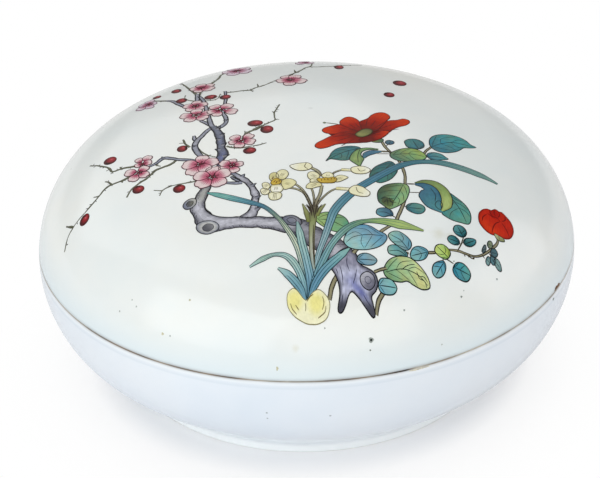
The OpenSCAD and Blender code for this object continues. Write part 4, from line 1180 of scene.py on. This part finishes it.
def wall(angle, z):
    """A place on the bulge's glaze and its normal. angle is in degrees from the front, to the right."""
    turn = math.radians(angle)
    lean = rise_angle(BELLY_R - SKIN, z)
    way = np.array((math.sin(turn), -math.cos(turn), 0))
    up = way * math.cos(lean) + np.array((0, 0, math.sin(lean)))
    return way * bulge_at(BELLY_R - SKIN, z) + np.array((0, 0, z)), up


def spots(name, marks, body, slot, material):
    """Small flat marks on the bulge. Each is (angle, height, outline in millimetres, colour)."""
    vertices, normals, faces, colors, brush = [], [], [], [], []
    for angle, z, outline, color in marks:
        start, count = len(vertices), len(outline) + 1
        for lift in (ENAMEL_LIFT, -ENAMEL_SUNK):
            for u, v in [(0, 0)] + list(outline):
                place, up = wall(angle + math.degrees(u / BODY_R), z + v)
                vertices.append(place + up * lift)
                normals.append(up)
                colors.append(color)
                brush.append((u, v))
        for k in range(1, count):
            n = k % (count - 1) + 1
            faces.append((start, start + k, start + n))
            faces.append((start + count, start + count + n, start + count + k))
            faces.append((start + k, start + count + k, start + count + n, start + n))
    painted(name, vertices, faces, normals, colors, np.array(brush), body, slot, material)


def blot(across, up):
    """An uneven round outline, from its half width and half height in millimetres."""
    out = []
    for k in range(10):
        a = 2 * math.pi * k / 10
        swell = 1 + 0.16 * math.sin(3 * a + 1.3) + 0.1 * math.sin(5 * a + 0.4)
        out.append((across * swell * math.cos(a), up * swell * math.sin(a)))
    return out


def blots(rows):
    """Uneven round marks from rows of (angle, height, half width, half height, colour)."""
    return [(angle, z, blot(across, up), color) for angle, z, across, up, color in rows]


def marked(points, soil=0, bare=0):
    """Points of a profile with their soil and bareness. The soil is one value, or one for each point."""
    soils = np.broadcast_to(soil, len(points))
    return [(r, z, s, bare) for (r, z), s in zip(points, soils)]


def apart(points):
    """Leaves out points of a profile that nearly meet the one before."""
    kept = [points[0]]
    for p in points[1:]:
        if math.dist(p[:2], kept[-1][:2]) > 0.004:
            kept.append(p)
    return kept


# Materials

BLACK = (0, 0, 0, 1)
WHITE = (1, 1, 1, 1)


def grey(value):
    """A grey of linear light for a ramp's stop."""
    return (value, value, value, 1)


class Look:
    """A node material around one Principled shader."""

    def __init__(self, name):
        self.material = bpy.data.materials.new(name)
        self.material.use_nodes = True
        self.tree = self.material.node_tree
        self.shader = self.tree.nodes["Principled BSDF"]
        self.place = self.node("ShaderNodeTexCoord").outputs["Object"]

    def put(self, target, value):
        """Links an input to another node's output, or sets it to a value."""
        if isinstance(value, bpy.types.NodeSocket):
            self.tree.links.new(value, target)
        else:
            target.default_value = value

    def node(self, kind, **values):
        """A new node. The values are its settings or its inputs, by name."""
        made = self.tree.nodes.new(kind)
        for key, value in values.items():
            if hasattr(made, key):
                setattr(made, key, value)
            else:
                self.put(made.inputs[key.replace("_", " ")], value)
        return made

    def set(self, **values):
        """Sets or links inputs of the shader by name."""
        for key, value in values.items():
            self.put(self.shader.inputs[key.replace("_", " ")], value)

    def ramp(self, source, stops):
        """A colour ramp through stops of (place, colour)."""
        made = self.node("ShaderNodeValToRGB", Fac=source)
        bar = made.color_ramp
        for element, (place, color) in zip(bar.elements, (stops[0], stops[-1])):
            element.position = place
            element.color = color
        for place, color in stops[1:-1]:
            bar.elements.new(place).color = color
        return made.outputs["Color"]

    def mix(self, share, a, b, blend="MIX"):
        """Mixes two colours. share, a and b are values, or outputs of other nodes."""
        made = self.node("ShaderNodeMix", data_type="RGBA", blend_type=blend)
        for place, value in ((0, share), (6, a), (7, b)):
            self.put(made.inputs[place], value)
        return made.outputs[2]

    def math(self, what, a, b, clamp=False):
        """Reckons with two values or outputs."""
        made = self.node("ShaderNodeMath", operation=what, use_clamp=clamp)
        self.put(made.inputs[0], a)
        self.put(made.inputs[1], b)
        return made.outputs[0]

    def sum(self, *parts):
        """Adds up outputs, each times its weight."""
        terms = [self.math("MULTIPLY", part, weight) for part, weight in parts]
        total = terms[0]
        for term in terms[1:]:
            total = self.math("ADD", total, term)
        return total

    def swing(self, source, amount):
        """A value that strays to both sides of zero, as a noise does about its middle."""
        return self.math("MULTIPLY", self.math("SUBTRACT", source, 0.5), amount)

    def noise(self, scale, detail, where=None, stretch=None, rough=0.5):
        """Soft noise over the object's own space, or over another one."""
        where = where or self.place
        if stretch is not None:
            where = self.node("ShaderNodeMapping", Vector=where, Scale=stretch).outputs["Vector"]
        made = self.node("ShaderNodeTexNoise", Vector=where, Scale=scale, Detail=detail, Roughness=rough)
        return made.outputs["Fac"]

    def bump(self, height, distance, strength):
        """Relief from an output. distance is in metres."""
        made = self.node("ShaderNodeBump", Height=height, Strength=strength, Distance=distance)
        self.set(Normal=made.outputs["Normal"])


def glaze(name, color, deep, warm, low, stains=()):
    """White porcelain under a clear glaze: clouds of colour, iron specks, and bare or soiled edges."""
    look = Look(name)
    clouds = look.noise(28, 3)
    fine = look.noise(420, 3)
    cells = look.noise(1500, 2)
    marks = look.node("ShaderNodeAttribute", attribute_name="marks").outputs["Color"]
    parts = look.node("ShaderNodeSeparateColor", Color=marks).outputs
    soil, bare, depth_and_painted_light = parts["Red"], parts["Green"], parts["Blue"]
    tone = look.ramp(clouds, [(0.3, lit(*deep)), (0.5, lit(*color)), (0.72, lit(*warm))])
    tone = look.mix(look.ramp(fine, [(0.4, BLACK), (0.75, grey(0.12))]), tone, lit(*deep))
    # Iron specks in the body show through the glaze as small grey dots
    specks = look.node("ShaderNodeTexVoronoi", Vector=look.place, Scale=150.0, feature="F1")
    dot = look.ramp(specks.outputs["Distance"], [(0.0, WHITE), (0.05, BLACK)])
    rare = look.ramp(look.noise(60, 1), [(0.66, BLACK), (0.7, WHITE)])
    tone = look.mix(look.mix(1.0, dot, rare, "MULTIPLY"), tone, lit(150, 146, 136))
    # The bowl's glaze is painted whiter towards the foot, as painted light in the shade under the belly,
    # and is whiter in a thin band under the seam. The lid's glaze pools to a bluer tone above its rim
    tone = look.mix(look.math("MULTIPLY", depth_and_painted_light, 1.0, True), tone, lit(*low))
    tone = look.mix(look.math("MULTIPLY", depth_and_painted_light, -1.0, True), tone, lit(188, 204, 218))
    for x, y, reach, strength, stain in stains:
        spot = look.node("ShaderNodeVectorMath", operation="DISTANCE")
        look.put(spot.inputs[0], look.place)
        look.put(spot.inputs[1], dome(np.array([(x, y)]))[0][0] * MM)
        away = look.math("ADD", spot.outputs["Value"], look.swing(fine, reach * MM))
        near = look.node("ShaderNodeMapRange", interpolation_type="SMOOTHSTEP", Value=away,
            From_Min=reach * MM, From_Max=0.0, To_Max=strength)
        tone = look.mix(near.outputs["Result"], tone, lit(*stain))
    # Bare porcelain where the box stands and where its rims meet
    body = look.ramp(fine, [(0.3, lit(220, 213, 198)), (0.7, lit(238, 233, 222))])
    raw = look.ramp(look.math("ADD", bare, look.swing(fine, 0.5)), [(0.42, BLACK), (0.58, WHITE)])
    tone = look.mix(raw, tone, body)
    # Dirt in the seam, thicker in some places than in others
    dirt = look.ramp(look.noise(45, 4), [(0.36, grey(0.35)), (0.55, WHITE)])
    dirt = look.math("MULTIPLY", soil, dirt)
    brown = look.ramp(look.noise(160, 2), [(0.35, lit(40, 28, 20)), (0.7, lit(104, 78, 52))])
    worn = look.math("MULTIPLY", look.math("ADD", raw, dirt, True), 0.45)
    polish = look.math("MULTIPLY", look.noise(90, 3), 0.1)
    rough = look.math("ADD", look.math("ADD", worn, polish), 0.12)
    look.set(Base_Color=look.mix(dirt, tone, brown), Roughness=rough, IOR=1.5, Specular_IOR_Level=0.5)
    grain = look.math("MULTIPLY", raw, cells)
    look.bump(look.sum((clouds, 1.0), (fine, 0.1), (grain, 0.08)), 0.00025, 0.5)
    return look.material


def enamel(name, streaks, across, along, rough, mottle, gloss=0.25):
    """Overglaze enamel: the painted colour with brush streaks, mottling, pits and a glassy face."""
    look = Look(name)
    brush = look.node("ShaderNodeUVMap", uv_map="brush").outputs["UV"]
    paint = look.node("ShaderNodeAttribute", attribute_name="enamel").outputs["Color"]
    hairs = look.noise(1.0, 3, brush, (along, across, 1.0), 0.65)
    clouds = look.noise(900, 3)
    grain = look.noise(5000, 2)
    stroke = look.ramp(hairs, [(0.34, grey(1 - streaks)), (0.66, grey(1 + streaks * 0.5))])
    cloudy = look.ramp(clouds, [(0.32, grey(1 - mottle)), (0.6, WHITE)])
    tone = look.mix(1.0, look.mix(1.0, paint, stroke, "MULTIPLY"), cloudy, "MULTIPLY")
    shine = look.math("ADD", look.math("MULTIPLY", clouds, 0.16), rough)
    look.set(Base_Color=tone, Roughness=shine, IOR=1.5, Specular_IOR_Level=gloss)
    look.bump(look.sum((hairs, 1.0), (grain, 0.25)), 0.00003, 0.6)
    return look.material


def paste_look():
    """Cinnabar ground into castor oil, with moxa fibre: deep vermilion, lumpy and wet."""
    look = Look("cinnabar_paste")
    lumps = look.noise(240, 4, rough=0.6)
    fibres = look.noise(700, 4, stretch=(1, 1, 3), rough=0.7)
    grain = look.noise(3600, 2)
    tone = look.ramp(lumps, [(0.2, lit(156, 18, 4)), (0.5, lit(206, 34, 8)), (0.8, lit(230, 58, 16))])
    tone = look.mix(look.ramp(fibres, [(0.55, BLACK), (0.72, grey(0.4))]), tone, lit(236, 78, 26))
    rough = look.math("ADD", look.math("MULTIPLY", fibres, 0.4), 0.14)
    look.set(Base_Color=tone, Roughness=rough, IOR=1.48, Specular_IOR_Level=0.2)
    look.set(Coat_Weight=0.08, Coat_Roughness=0.15)
    look.bump(look.sum((lumps, 1.0), (fibres, 0.4), (grain, 0.1)), 0.0006, 0.7)
    return look.material


# Porcelain

# Rows of place, reach in millimetres, strength and colour: faint stains in the lid's glaze
STAINS = [(1.8, 12, 0.9, 0.3, (176, 180, 178)), (30.4, -38.2, 2.8, 0.34, (196, 192, 156)),
    (33.2, -38.2, 1.6, 0.3, (190, 190, 150)), (-3, -63, 1.2, 0.3, (206, 200, 168))]
lid_glaze = glaze("lid_glaze", (239, 242, 240), (232, 238, 238), (241, 241, 235), (222, 234, 239), STAINS)
# The bowl's last tone is the whiter one painted towards its foot, painted light in the shade under the
# belly
base_glaze = glaze("base_glaze", (230, 237, 245), (223, 232, 242), (234, 239, 245), (248, 252, 254))

QUARTER = math.pi / 2
WALL_START = -math.radians(TURN_ANGLE)
# Roundings of the rims at the seam, the foot ring, the recess, the lip and the lip's root
FILLET = 0.14
FOOT_ROUND = 0.35
RECESS_ROUND = 0.8
LIP_ROUND = 0.48
ROOT_ROUND = 0.25
# Half of the gap between lid and bowl at the seam
GAP = 0.012


def lid_profile():
    """The lid from its rim up the outside to the top, and down the inside."""
    outer, inner = BELLY_R - SKIN, BELLY_R - LID_WALL
    low = SEAM_H + GAP
    round_z = low + FILLET
    rim_out, rim_in = bulge_at(outer, SEAM_H), bulge_at(inner, SEAM_H)
    points = marked(arc(rim_in + FILLET, round_z, FILLET, math.pi, 3 * QUARTER, 4), 0.12, 1)
    flat = [(r, low) for r in np.linspace(rim_in + 0.5, rim_out - 0.5, 5)]
    points += marked(flat, (0.06, 0.06, 0.1, 0.2, 0.5), 1)
    points += marked(arc(rim_out - FILLET, round_z, FILLET, -QUARTER, 0, 5), 1, 0.9)
    bulge = arc(BULGE_X, BELLY_H, outer, rise_angle(outer, round_z + 0.04), CROWN_ANGLE, 70)
    points += marked(bulge, [0.5, 0.1] + [0] * (len(bulge) - 2))
    crown = arc(0, CROWN_Z, CROWN_R - SKIN, CROWN_ANGLE, QUARTER, 70)[1:]
    inside = arc(0, CROWN_Z, CROWN_R - LID_WALL, QUARTER, CROWN_ANGLE, 50)
    crown[-1] = (0, crown[-1][1])
    inside[0] = (0, inside[0][1])
    inside += arc(BULGE_X, BELLY_H, inner, CROWN_ANGLE, rise_angle(inner, round_z + 0.04), 50)[1:]
    return apart(points + marked(crown + inside[:-4]) + marked(inside[-4:], 0.15, 0.8))


def base_profile():
    """The bowl from the middle of its underside over foot, wall, ledge and lip to the well's floor."""
    outer = BELLY_R - SKIN
    high = SEAM_H - GAP
    foot_in = FOOT_R - FOOT_BAND
    recess_r = foot_in - FOOT_DRAFT
    points = marked([(r, RECESS_H) for r in (0, 12, 24, 34, recess_r - 1.2)])
    points += marked(arc(recess_r - 0.9, RECESS_H - RECESS_ROUND, RECESS_ROUND, QUARTER, 0.15, 5))
    points += [(foot_in - 0.14, 0.9, 0, 0), (foot_in - 0.06, 0.5, 0.1, 0.6)]
    points += marked(arc(foot_in + FOOT_ROUND, FOOT_ROUND, FOOT_ROUND, math.pi, 3 * QUARTER, 4), 0.2, 1)
    points += marked([(r, 0) for r in np.linspace(foot_in + 0.7, FOOT_R - 0.7, 4)], 0.12, 1)
    points += marked(arc(FOOT_R - 0.38, FOOT_ROUND, FOOT_ROUND, -QUARTER, -0.8, 3), 0, 0.5)
    points += [(FOOT_R - 0.04, 0.3, 0, 0), (FOOT_R + 0.08, 0.9, 0, 0)]
    # The foot runs into the cone of the wall through a small hollow
    wall_arc = arc(BULGE_X, BELLY_H, outer, WALL_START, rise_angle(outer, high - FILLET - 0.06), 80)
    joint = np.array((FOOT_R + FOOT_DRAFT, FOOT_H))
    way = wall_arc[0] - joint
    hollow = np.array([(FOOT_R + 0.24, 1.55), joint - 0.03, joint + way * 0.26])
    for t in np.linspace(0, 1, 9):
        r, z = ((1 - t) ** 2, 2 * t * (1 - t), t * t) @ hollow
        points.append((r, z - 0.05 * t, 0, 0))
    for share in (0.4, 0.6, 0.8):
        r, z = joint + way * share
        points.append((r, z - 0.05 * (1 - share), 0, 0))
    points += marked(wall_arc, [0] * (len(wall_arc) - 2) + [0.1, 0.5])
    # The rim at the seam, the ledge and the root of the lip
    rim, lip = bulge_at(outer, SEAM_H), bulge_at(LIP_OUT_R, SEAM_H)
    points += marked(arc(rim - FILLET, high - FILLET, FILLET, 0, QUARTER, 5), 1, 0.9)
    ledge = [(r, high) for r in np.linspace(rim - 0.5, lip + 0.5, 5)]
    points += marked(ledge, (0.45, 0.16, 0.08, 0.08, 0.16), 1)
    root = arc(lip + ROOT_ROUND, high + ROOT_ROUND, ROOT_ROUND, 3 * QUARTER, math.pi, 3)
    points += marked(root, 0.35, 1)
    # The lip, rounded over, and the inside of the bowl
    top = LIP_TOP_H - 0.5
    ends = rise_angle(LIP_OUT_R, SEAM_H + 0.35), rise_angle(LIP_OUT_R, top)
    points += marked(arc(BULGE_X, BELLY_H, LIP_OUT_R, *ends, 8), 0.06, 0.9)
    out_r, in_r = bulge_at(LIP_OUT_R, top), bulge_at(BOWL_IN_R, top)
    points += marked(arc(out_r - LIP_ROUND, top, LIP_ROUND, 0.15, QUARTER, 6), 0.08, 1)
    points += marked(arc(in_r + LIP_ROUND, top, LIP_ROUND, QUARTER, math.pi - 0.15, 6), 0.05, 1)
    points += marked(arc(BULGE_X, BELLY_H, BOWL_IN_R, rise_angle(BOWL_IN_R, top - 0.05), WALL_START, 50))
    points += marked([(r, FLOOR_H) for r in (FLOOR_R - 0.6, 30, 15, 0)])
    return apart(points)


lid = turned("lid_porcelain", lid_profile(), "cover", "lid_glaze", lid_glaze)
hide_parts("lid")
base = turned("base_porcelain", base_profile(), "bowl", "base_glaze", base_glaze)
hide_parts("base")


# Seal paste, heaped and stirred above this height

STIRRED_FROM = 14.5


def paste_profile():
    """The paste from the middle of its underside out along the well, and up over the heap."""
    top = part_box("seal_paste")[1][2] / MM - 0.15
    low = FLOOR_H + 0.02
    points = [(0, low), (20, low), (FLOOR_R - 0.8, low)]
    points += arc(BULGE_X, BELLY_H, BOWL_IN_R - 0.25, WALL_START, -math.radians(47.5), 5)
    edge_r, edge_z = points[-1]
    for k in range(1, 75):
        r = edge_r * (1 - (k / 74) ** 1.25)
        points.append((r, edge_z + (top - edge_z) * (1 - (r / edge_r) ** 3.4) ** 0.62))
    points[-1] = (0, points[-1][1])
    return apart(marked(points))


def stir(x, y, z):
    """Presses the top of the paste down into folds and lumps."""
    if z < STIRRED_FROM:
        return (x, y, z)
    r, angle = math.hypot(x, y), math.atan2(y, x)
    start = min(1.0, (z - STIRRED_FROM) / 4)
    spiral = 3 * angle + 7.5 * math.log(1 + r / 7) + 1.6 * noise.noise((x / 13, y / 13, 0.3))
    fold = 0.5 + 0.5 * math.sin(spiral)
    lump = 0.5 + 0.5 * noise.fractal((x / 6.5, y / 6.5, z / 6.5), 0.8, 2.1, 4)
    center = min(1.0, r / 5)
    return (x, y, z - start * (1.1 * fold ** 2 * center + 0.9 * lump))


paste = turned("stirred_paste", paste_profile(), "bowl", "cinnabar_paste", paste_look(), 300, stir)
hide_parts("seal_paste")

# Enamel painting

# The tilt of each piece's edges, then its look: the name, how strong the brush streaks are, how many
# there are across and along the stroke, roughness, mottling and gloss
ENAMELS = {
    "prunus_branches": (0.25, "branch_enamel", 0.22, 5.0, 0.35, 0.3, 0.22),
    "prunus_blossoms": (0.15, "blossom_enamel", 0.1, 6.0, 0.6, 0.22, 0.06),
    "prunus_buds": (0.3, "bud_enamel", 0.12, 4.0, 0.8, 0.25, 0.12, 0.15),
    "camellia_petals": (0.12, "coral_enamel", 0.14, 3.0, 0.4, 0.42, 0.12, 0.1),
    "camellia_center": (0.2, "pollen_enamel", 0.25, 6.0, 6.0, 0.35, 0.2),
    "camellia_leaves": (0.2, "leaf_enamel", 0.14, 2.2, 0.5, 0.14, 0.1),
    "camellia_stems": (0.25, "stem_enamel", 0.2, 6.0, 0.5, 0.28, 0.12),
    "narcissus_leaves": (0.2, "blade_enamel", 0.14, 7.0, 0.25, 0.16, 0.08),
    "narcissus_stalks": (0.2, "stalk_enamel", 0.18, 6.0, 0.4, 0.25, 0.1),
    "narcissus_flowers": (0.2, "cream_enamel", 0.06, 4.0, 1.0, 0.2, 0.05),
    "narcissus_bulbs": (0.2, "yellow_enamel", 0.06, 2.0, 1.2, 0.2, 0.06),
    "ink_lines": (0.05, "ink_enamel", 0.2, 4.0, 4.0, 0.35, 0.12, 0.1),
}
art = whole()
for name, (tilt, *look) in ENAMELS.items():
    shells = [s for s in art.shells if s[0] == name]
    enamel_piece(name, shells, enamel(*look), tilt)

# Pinholes and iron specks that broke through the glaze, and the chip at the rim on the right
GREY = (190, 196, 192)
DUST = (218, 212, 180)
# Rows of angle from the front, height, half width and half height in millimetres, and colour
marks = blots([(12.9, 41.9, 0.62, 0.6, (168, 176, 170)), (12.5, 39.75, 0.2, 0.2, (118, 122, 118)),
    (-41, 44.9, 0.2, 0.18, GREY), (-39.4, 44, 0.22, 0.2, GREY), (-43.4, 41.6, 0.2, 0.2, GREY),
    (-27, 48.3, 0.3, 0.2, DUST), (-31.6, 40.4, 0.34, 0.3, DUST), (-29.8, 40.4, 0.2, 0.2, GREY),
    (-6.5, 36.7, 0.26, 0.5, DUST), (21.1, 46.5, 0.26, 0.2, (172, 180, 176)),
    (35.1, 45.7, 0.28, 0.22, (150, 158, 152)), (36.2, 46.6, 0.18, 0.14, GREY),
    (45.7, 45.7, 0.28, 0.22, (168, 176, 176)), (37.2, 51.8, 0.24, 0.1, (150, 148, 130)),
    (28, 37.4, 0.2, 0.2, GREY), (3.4, 45.2, 0.2, 0.18, GREY), (150, 42, 0.3, 0.3, GREY),
    (-120, 44.5, 0.25, 0.25, DUST), (200, 38.6, 0.3, 0.3, (120, 124, 118))])
chip = [(-1.9, -0.3), (-1.1, -0.42), (0, -0.44), (1.2, -0.42), (1.9, -0.3), (1.7, 0.12), (0.9, 0.42),
    (0.2, 0.2), (-0.5, 0.5), (-1.2, 0.14)]
marks += [(65, 34.1, chip, (124, 88, 60))] + blots([(64.2, 34.2, 0.5, 0.22, (84, 56, 36))])
spots("lid_specks", marks, "cover", "lid_glaze", enamel("speck_stain", 0.3, 3.0, 3.0, 0.5, 0.35, 0.2))
hole = [(12.9, 41.9, [(u * 0.5, v * 0.5) for u, v in blot(0.62, 0.6)], (44, 48, 46))]
spots("lid_pinhole", hole, "cover", "lid_glaze", enamel("pinhole_stain", 0.2, 3.0, 3.0, 0.7, 0.3, 0.05))
scuff = [(-2.6, -0.1), (-1.2, -0.26), (0.6, -0.2), (2.4, -0.12), (2.6, 0.1), (0, 0.14), (-2.4, 0.1)]
marks = blots([(-9, 24.2, 0.26, 0.22, (172, 182, 188)), (-9, 22.3, 0.22, 0.2, (182, 190, 196)),
    (4, 23.2, 0.28, 0.2, (172, 180, 186)), (62.8, 32.1, 0.5, 0.3, (142, 156, 148))])
marks += [(22.6, 33.1, scuff, (226, 219, 196))]
marks += blots([(-140, 25.5, 0.3, 0.24, (172, 182, 188)), (130, 20, 0.22, 0.2, GREY)])
spots("base_specks", marks, "bowl", "base_glaze", enamel("base_stain", 0.3, 3.0, 3.0, 0.5, 0.3, 0.2))

# Floor, light and camera

FLOOR_REACH = 1.2
FLOOR_CORNERS = 64
look = Look("studio_floor")
paper = look.ramp(look.noise(60, 4), [(0.3, (0.945, 0.94, 0.95, 1)), (0.7, (0.965, 0.96, 0.97, 1))])
look.set(Base_Color=paper, Roughness=0.8, Specular_IOR_Level=0.15)
# Away from the object the floor turns into plain white for the camera, over these metres
white = look.node("ShaderNodeEmission", Strength=1.0)
length = look.node("ShaderNodeVectorMath", operation="LENGTH")
look.put(length.inputs[0], look.place)
far = look.ramp(length.outputs["Value"], [(0.0455, BLACK), (0.055, grey(0.8)), (0.065, grey(0.95)),
    (0.078, WHITE)])
seen = look.math("MULTIPLY", far, look.node("ShaderNodeLightPath").outputs["Is Camera Ray"])
both = look.node("ShaderNodeMixShader")
for place, source in enumerate((seen, look.shader.outputs[0], white.outputs[0])):
    look.put(both.inputs[place], source)
look.put(look.tree.nodes["Material Output"].inputs["Surface"], both.outputs[0])
turns = np.linspace(0, 2 * math.pi, FLOOR_CORNERS, endpoint=False)
ring = [(FLOOR_REACH * math.cos(a), FLOOR_REACH * math.sin(a), 0) for a in turns]
mesh = bpy.data.meshes.new("studio_floor")
mesh.from_pydata(ring, [], [list(range(FLOOR_CORNERS))])
mesh.materials.append(look.material)
floor = bpy.data.objects.new("studio_floor", mesh)
bpy.context.scene.collection.objects.link(floor)

# A dim white room lights the object, and the camera sees plain white behind it
ROOM_LIGHT = 0.32
world = bpy.data.worlds.new("studio")
bpy.context.scene.world = world
world.use_nodes = True
tree = world.node_tree
back = tree.nodes["Background"]
back.inputs["Color"].default_value = (0.985, 0.99, 0.985, 1)
back.inputs["Strength"].default_value = ROOM_LIGHT
shown = tree.nodes.new("ShaderNodeBackground")
shown.inputs["Color"].default_value = (1, 1, 1, 1)
path = tree.nodes.new("ShaderNodeLightPath")
blend = tree.nodes.new("ShaderNodeMixShader")
tree.links.new(path.outputs["Is Camera Ray"], blend.inputs[0])
tree.links.new(back.outputs[0], blend.inputs[1])
tree.links.new(shown.outputs[0], blend.inputs[2])
tree.links.new(blend.outputs[0], tree.nodes["World Output"].inputs["Surface"])


def softbox(name, turn, rise, away, width, height, power, color):
    """A rectangular lamp that looks at the object. turn runs from the front towards the right."""
    a, e = math.radians(turn), math.radians(rise)
    way = Vector((math.sin(a) * math.cos(e), -math.cos(a) * math.cos(e), math.sin(e)))
    lamp = bpy.data.lights.new(name, "AREA")
    lamp.shape = "RECTANGLE"
    lamp.size = width
    lamp.size_y = height
    lamp.energy = power
    lamp.color = color
    box = bpy.data.objects.new(name, lamp)
    box.location = way * away + Vector((0, 0, 0.03))
    box.rotation_euler = way.to_track_quat("Z", "Y").to_euler()
    bpy.context.scene.collection.objects.link(box)


lamps = [
    ("front_left_softbox", -42, 22, 1.1, 1.1, 0.8, 4.9, (0.965, 0.995, 1.0)),
    ("front_right_softbox", 18, 24, 1.1, 1.1, 0.8, 3.3, (0.995, 1.0, 0.975)),
    ("back_softbox", -150, 54, 1.6, 2.4, 2.4, 15.0, (1.0, 1.0, 0.985)),
    ("right_softbox", 98, 17, 1.1, 0.8, 0.8, 2.5, (0.99, 0.98, 1.0))]
for lamp in lamps:
    softbox(*lamp)

# The camera as fitted to the photograph: metres, degrees, millimetres and pixels
TARGET_Z = 0.0315
DISTANCE = 0.78
ELEVATION = 30.58
ROLL = -1.42
LENS = 192.3
SHIFT_X = -6.5
SHIFT_Y = 4.1
PHOTO_WIDTH = 600
elevation = math.radians(ELEVATION)
away = Vector((0, -math.cos(elevation), math.sin(elevation)))
right = Vector((1, 0, 0))
up = away.cross(right)
turn = Matrix((right, up, away)).transposed().to_4x4()
eye = Vector((0, 0, TARGET_Z)) + away * DISTANCE
camera = bpy.data.cameras.new("camera")
camera.sensor_fit = "HORIZONTAL"
camera.sensor_width = 36
camera.lens = LENS
camera.shift_x = SHIFT_X / PHOTO_WIDTH
camera.shift_y = SHIFT_Y / PHOTO_WIDTH
camera.clip_start = 0.05
rig = bpy.data.objects.new("camera", camera)
rig.matrix_world = Matrix.Translation(eye) @ turn @ Matrix.Rotation(math.radians(ROLL), 4, "Z")
bpy.context.scene.collection.objects.link(rig)
bpy.context.scene.camera = rig
bpy.context.scene.view_settings.view_transform = "Standard"
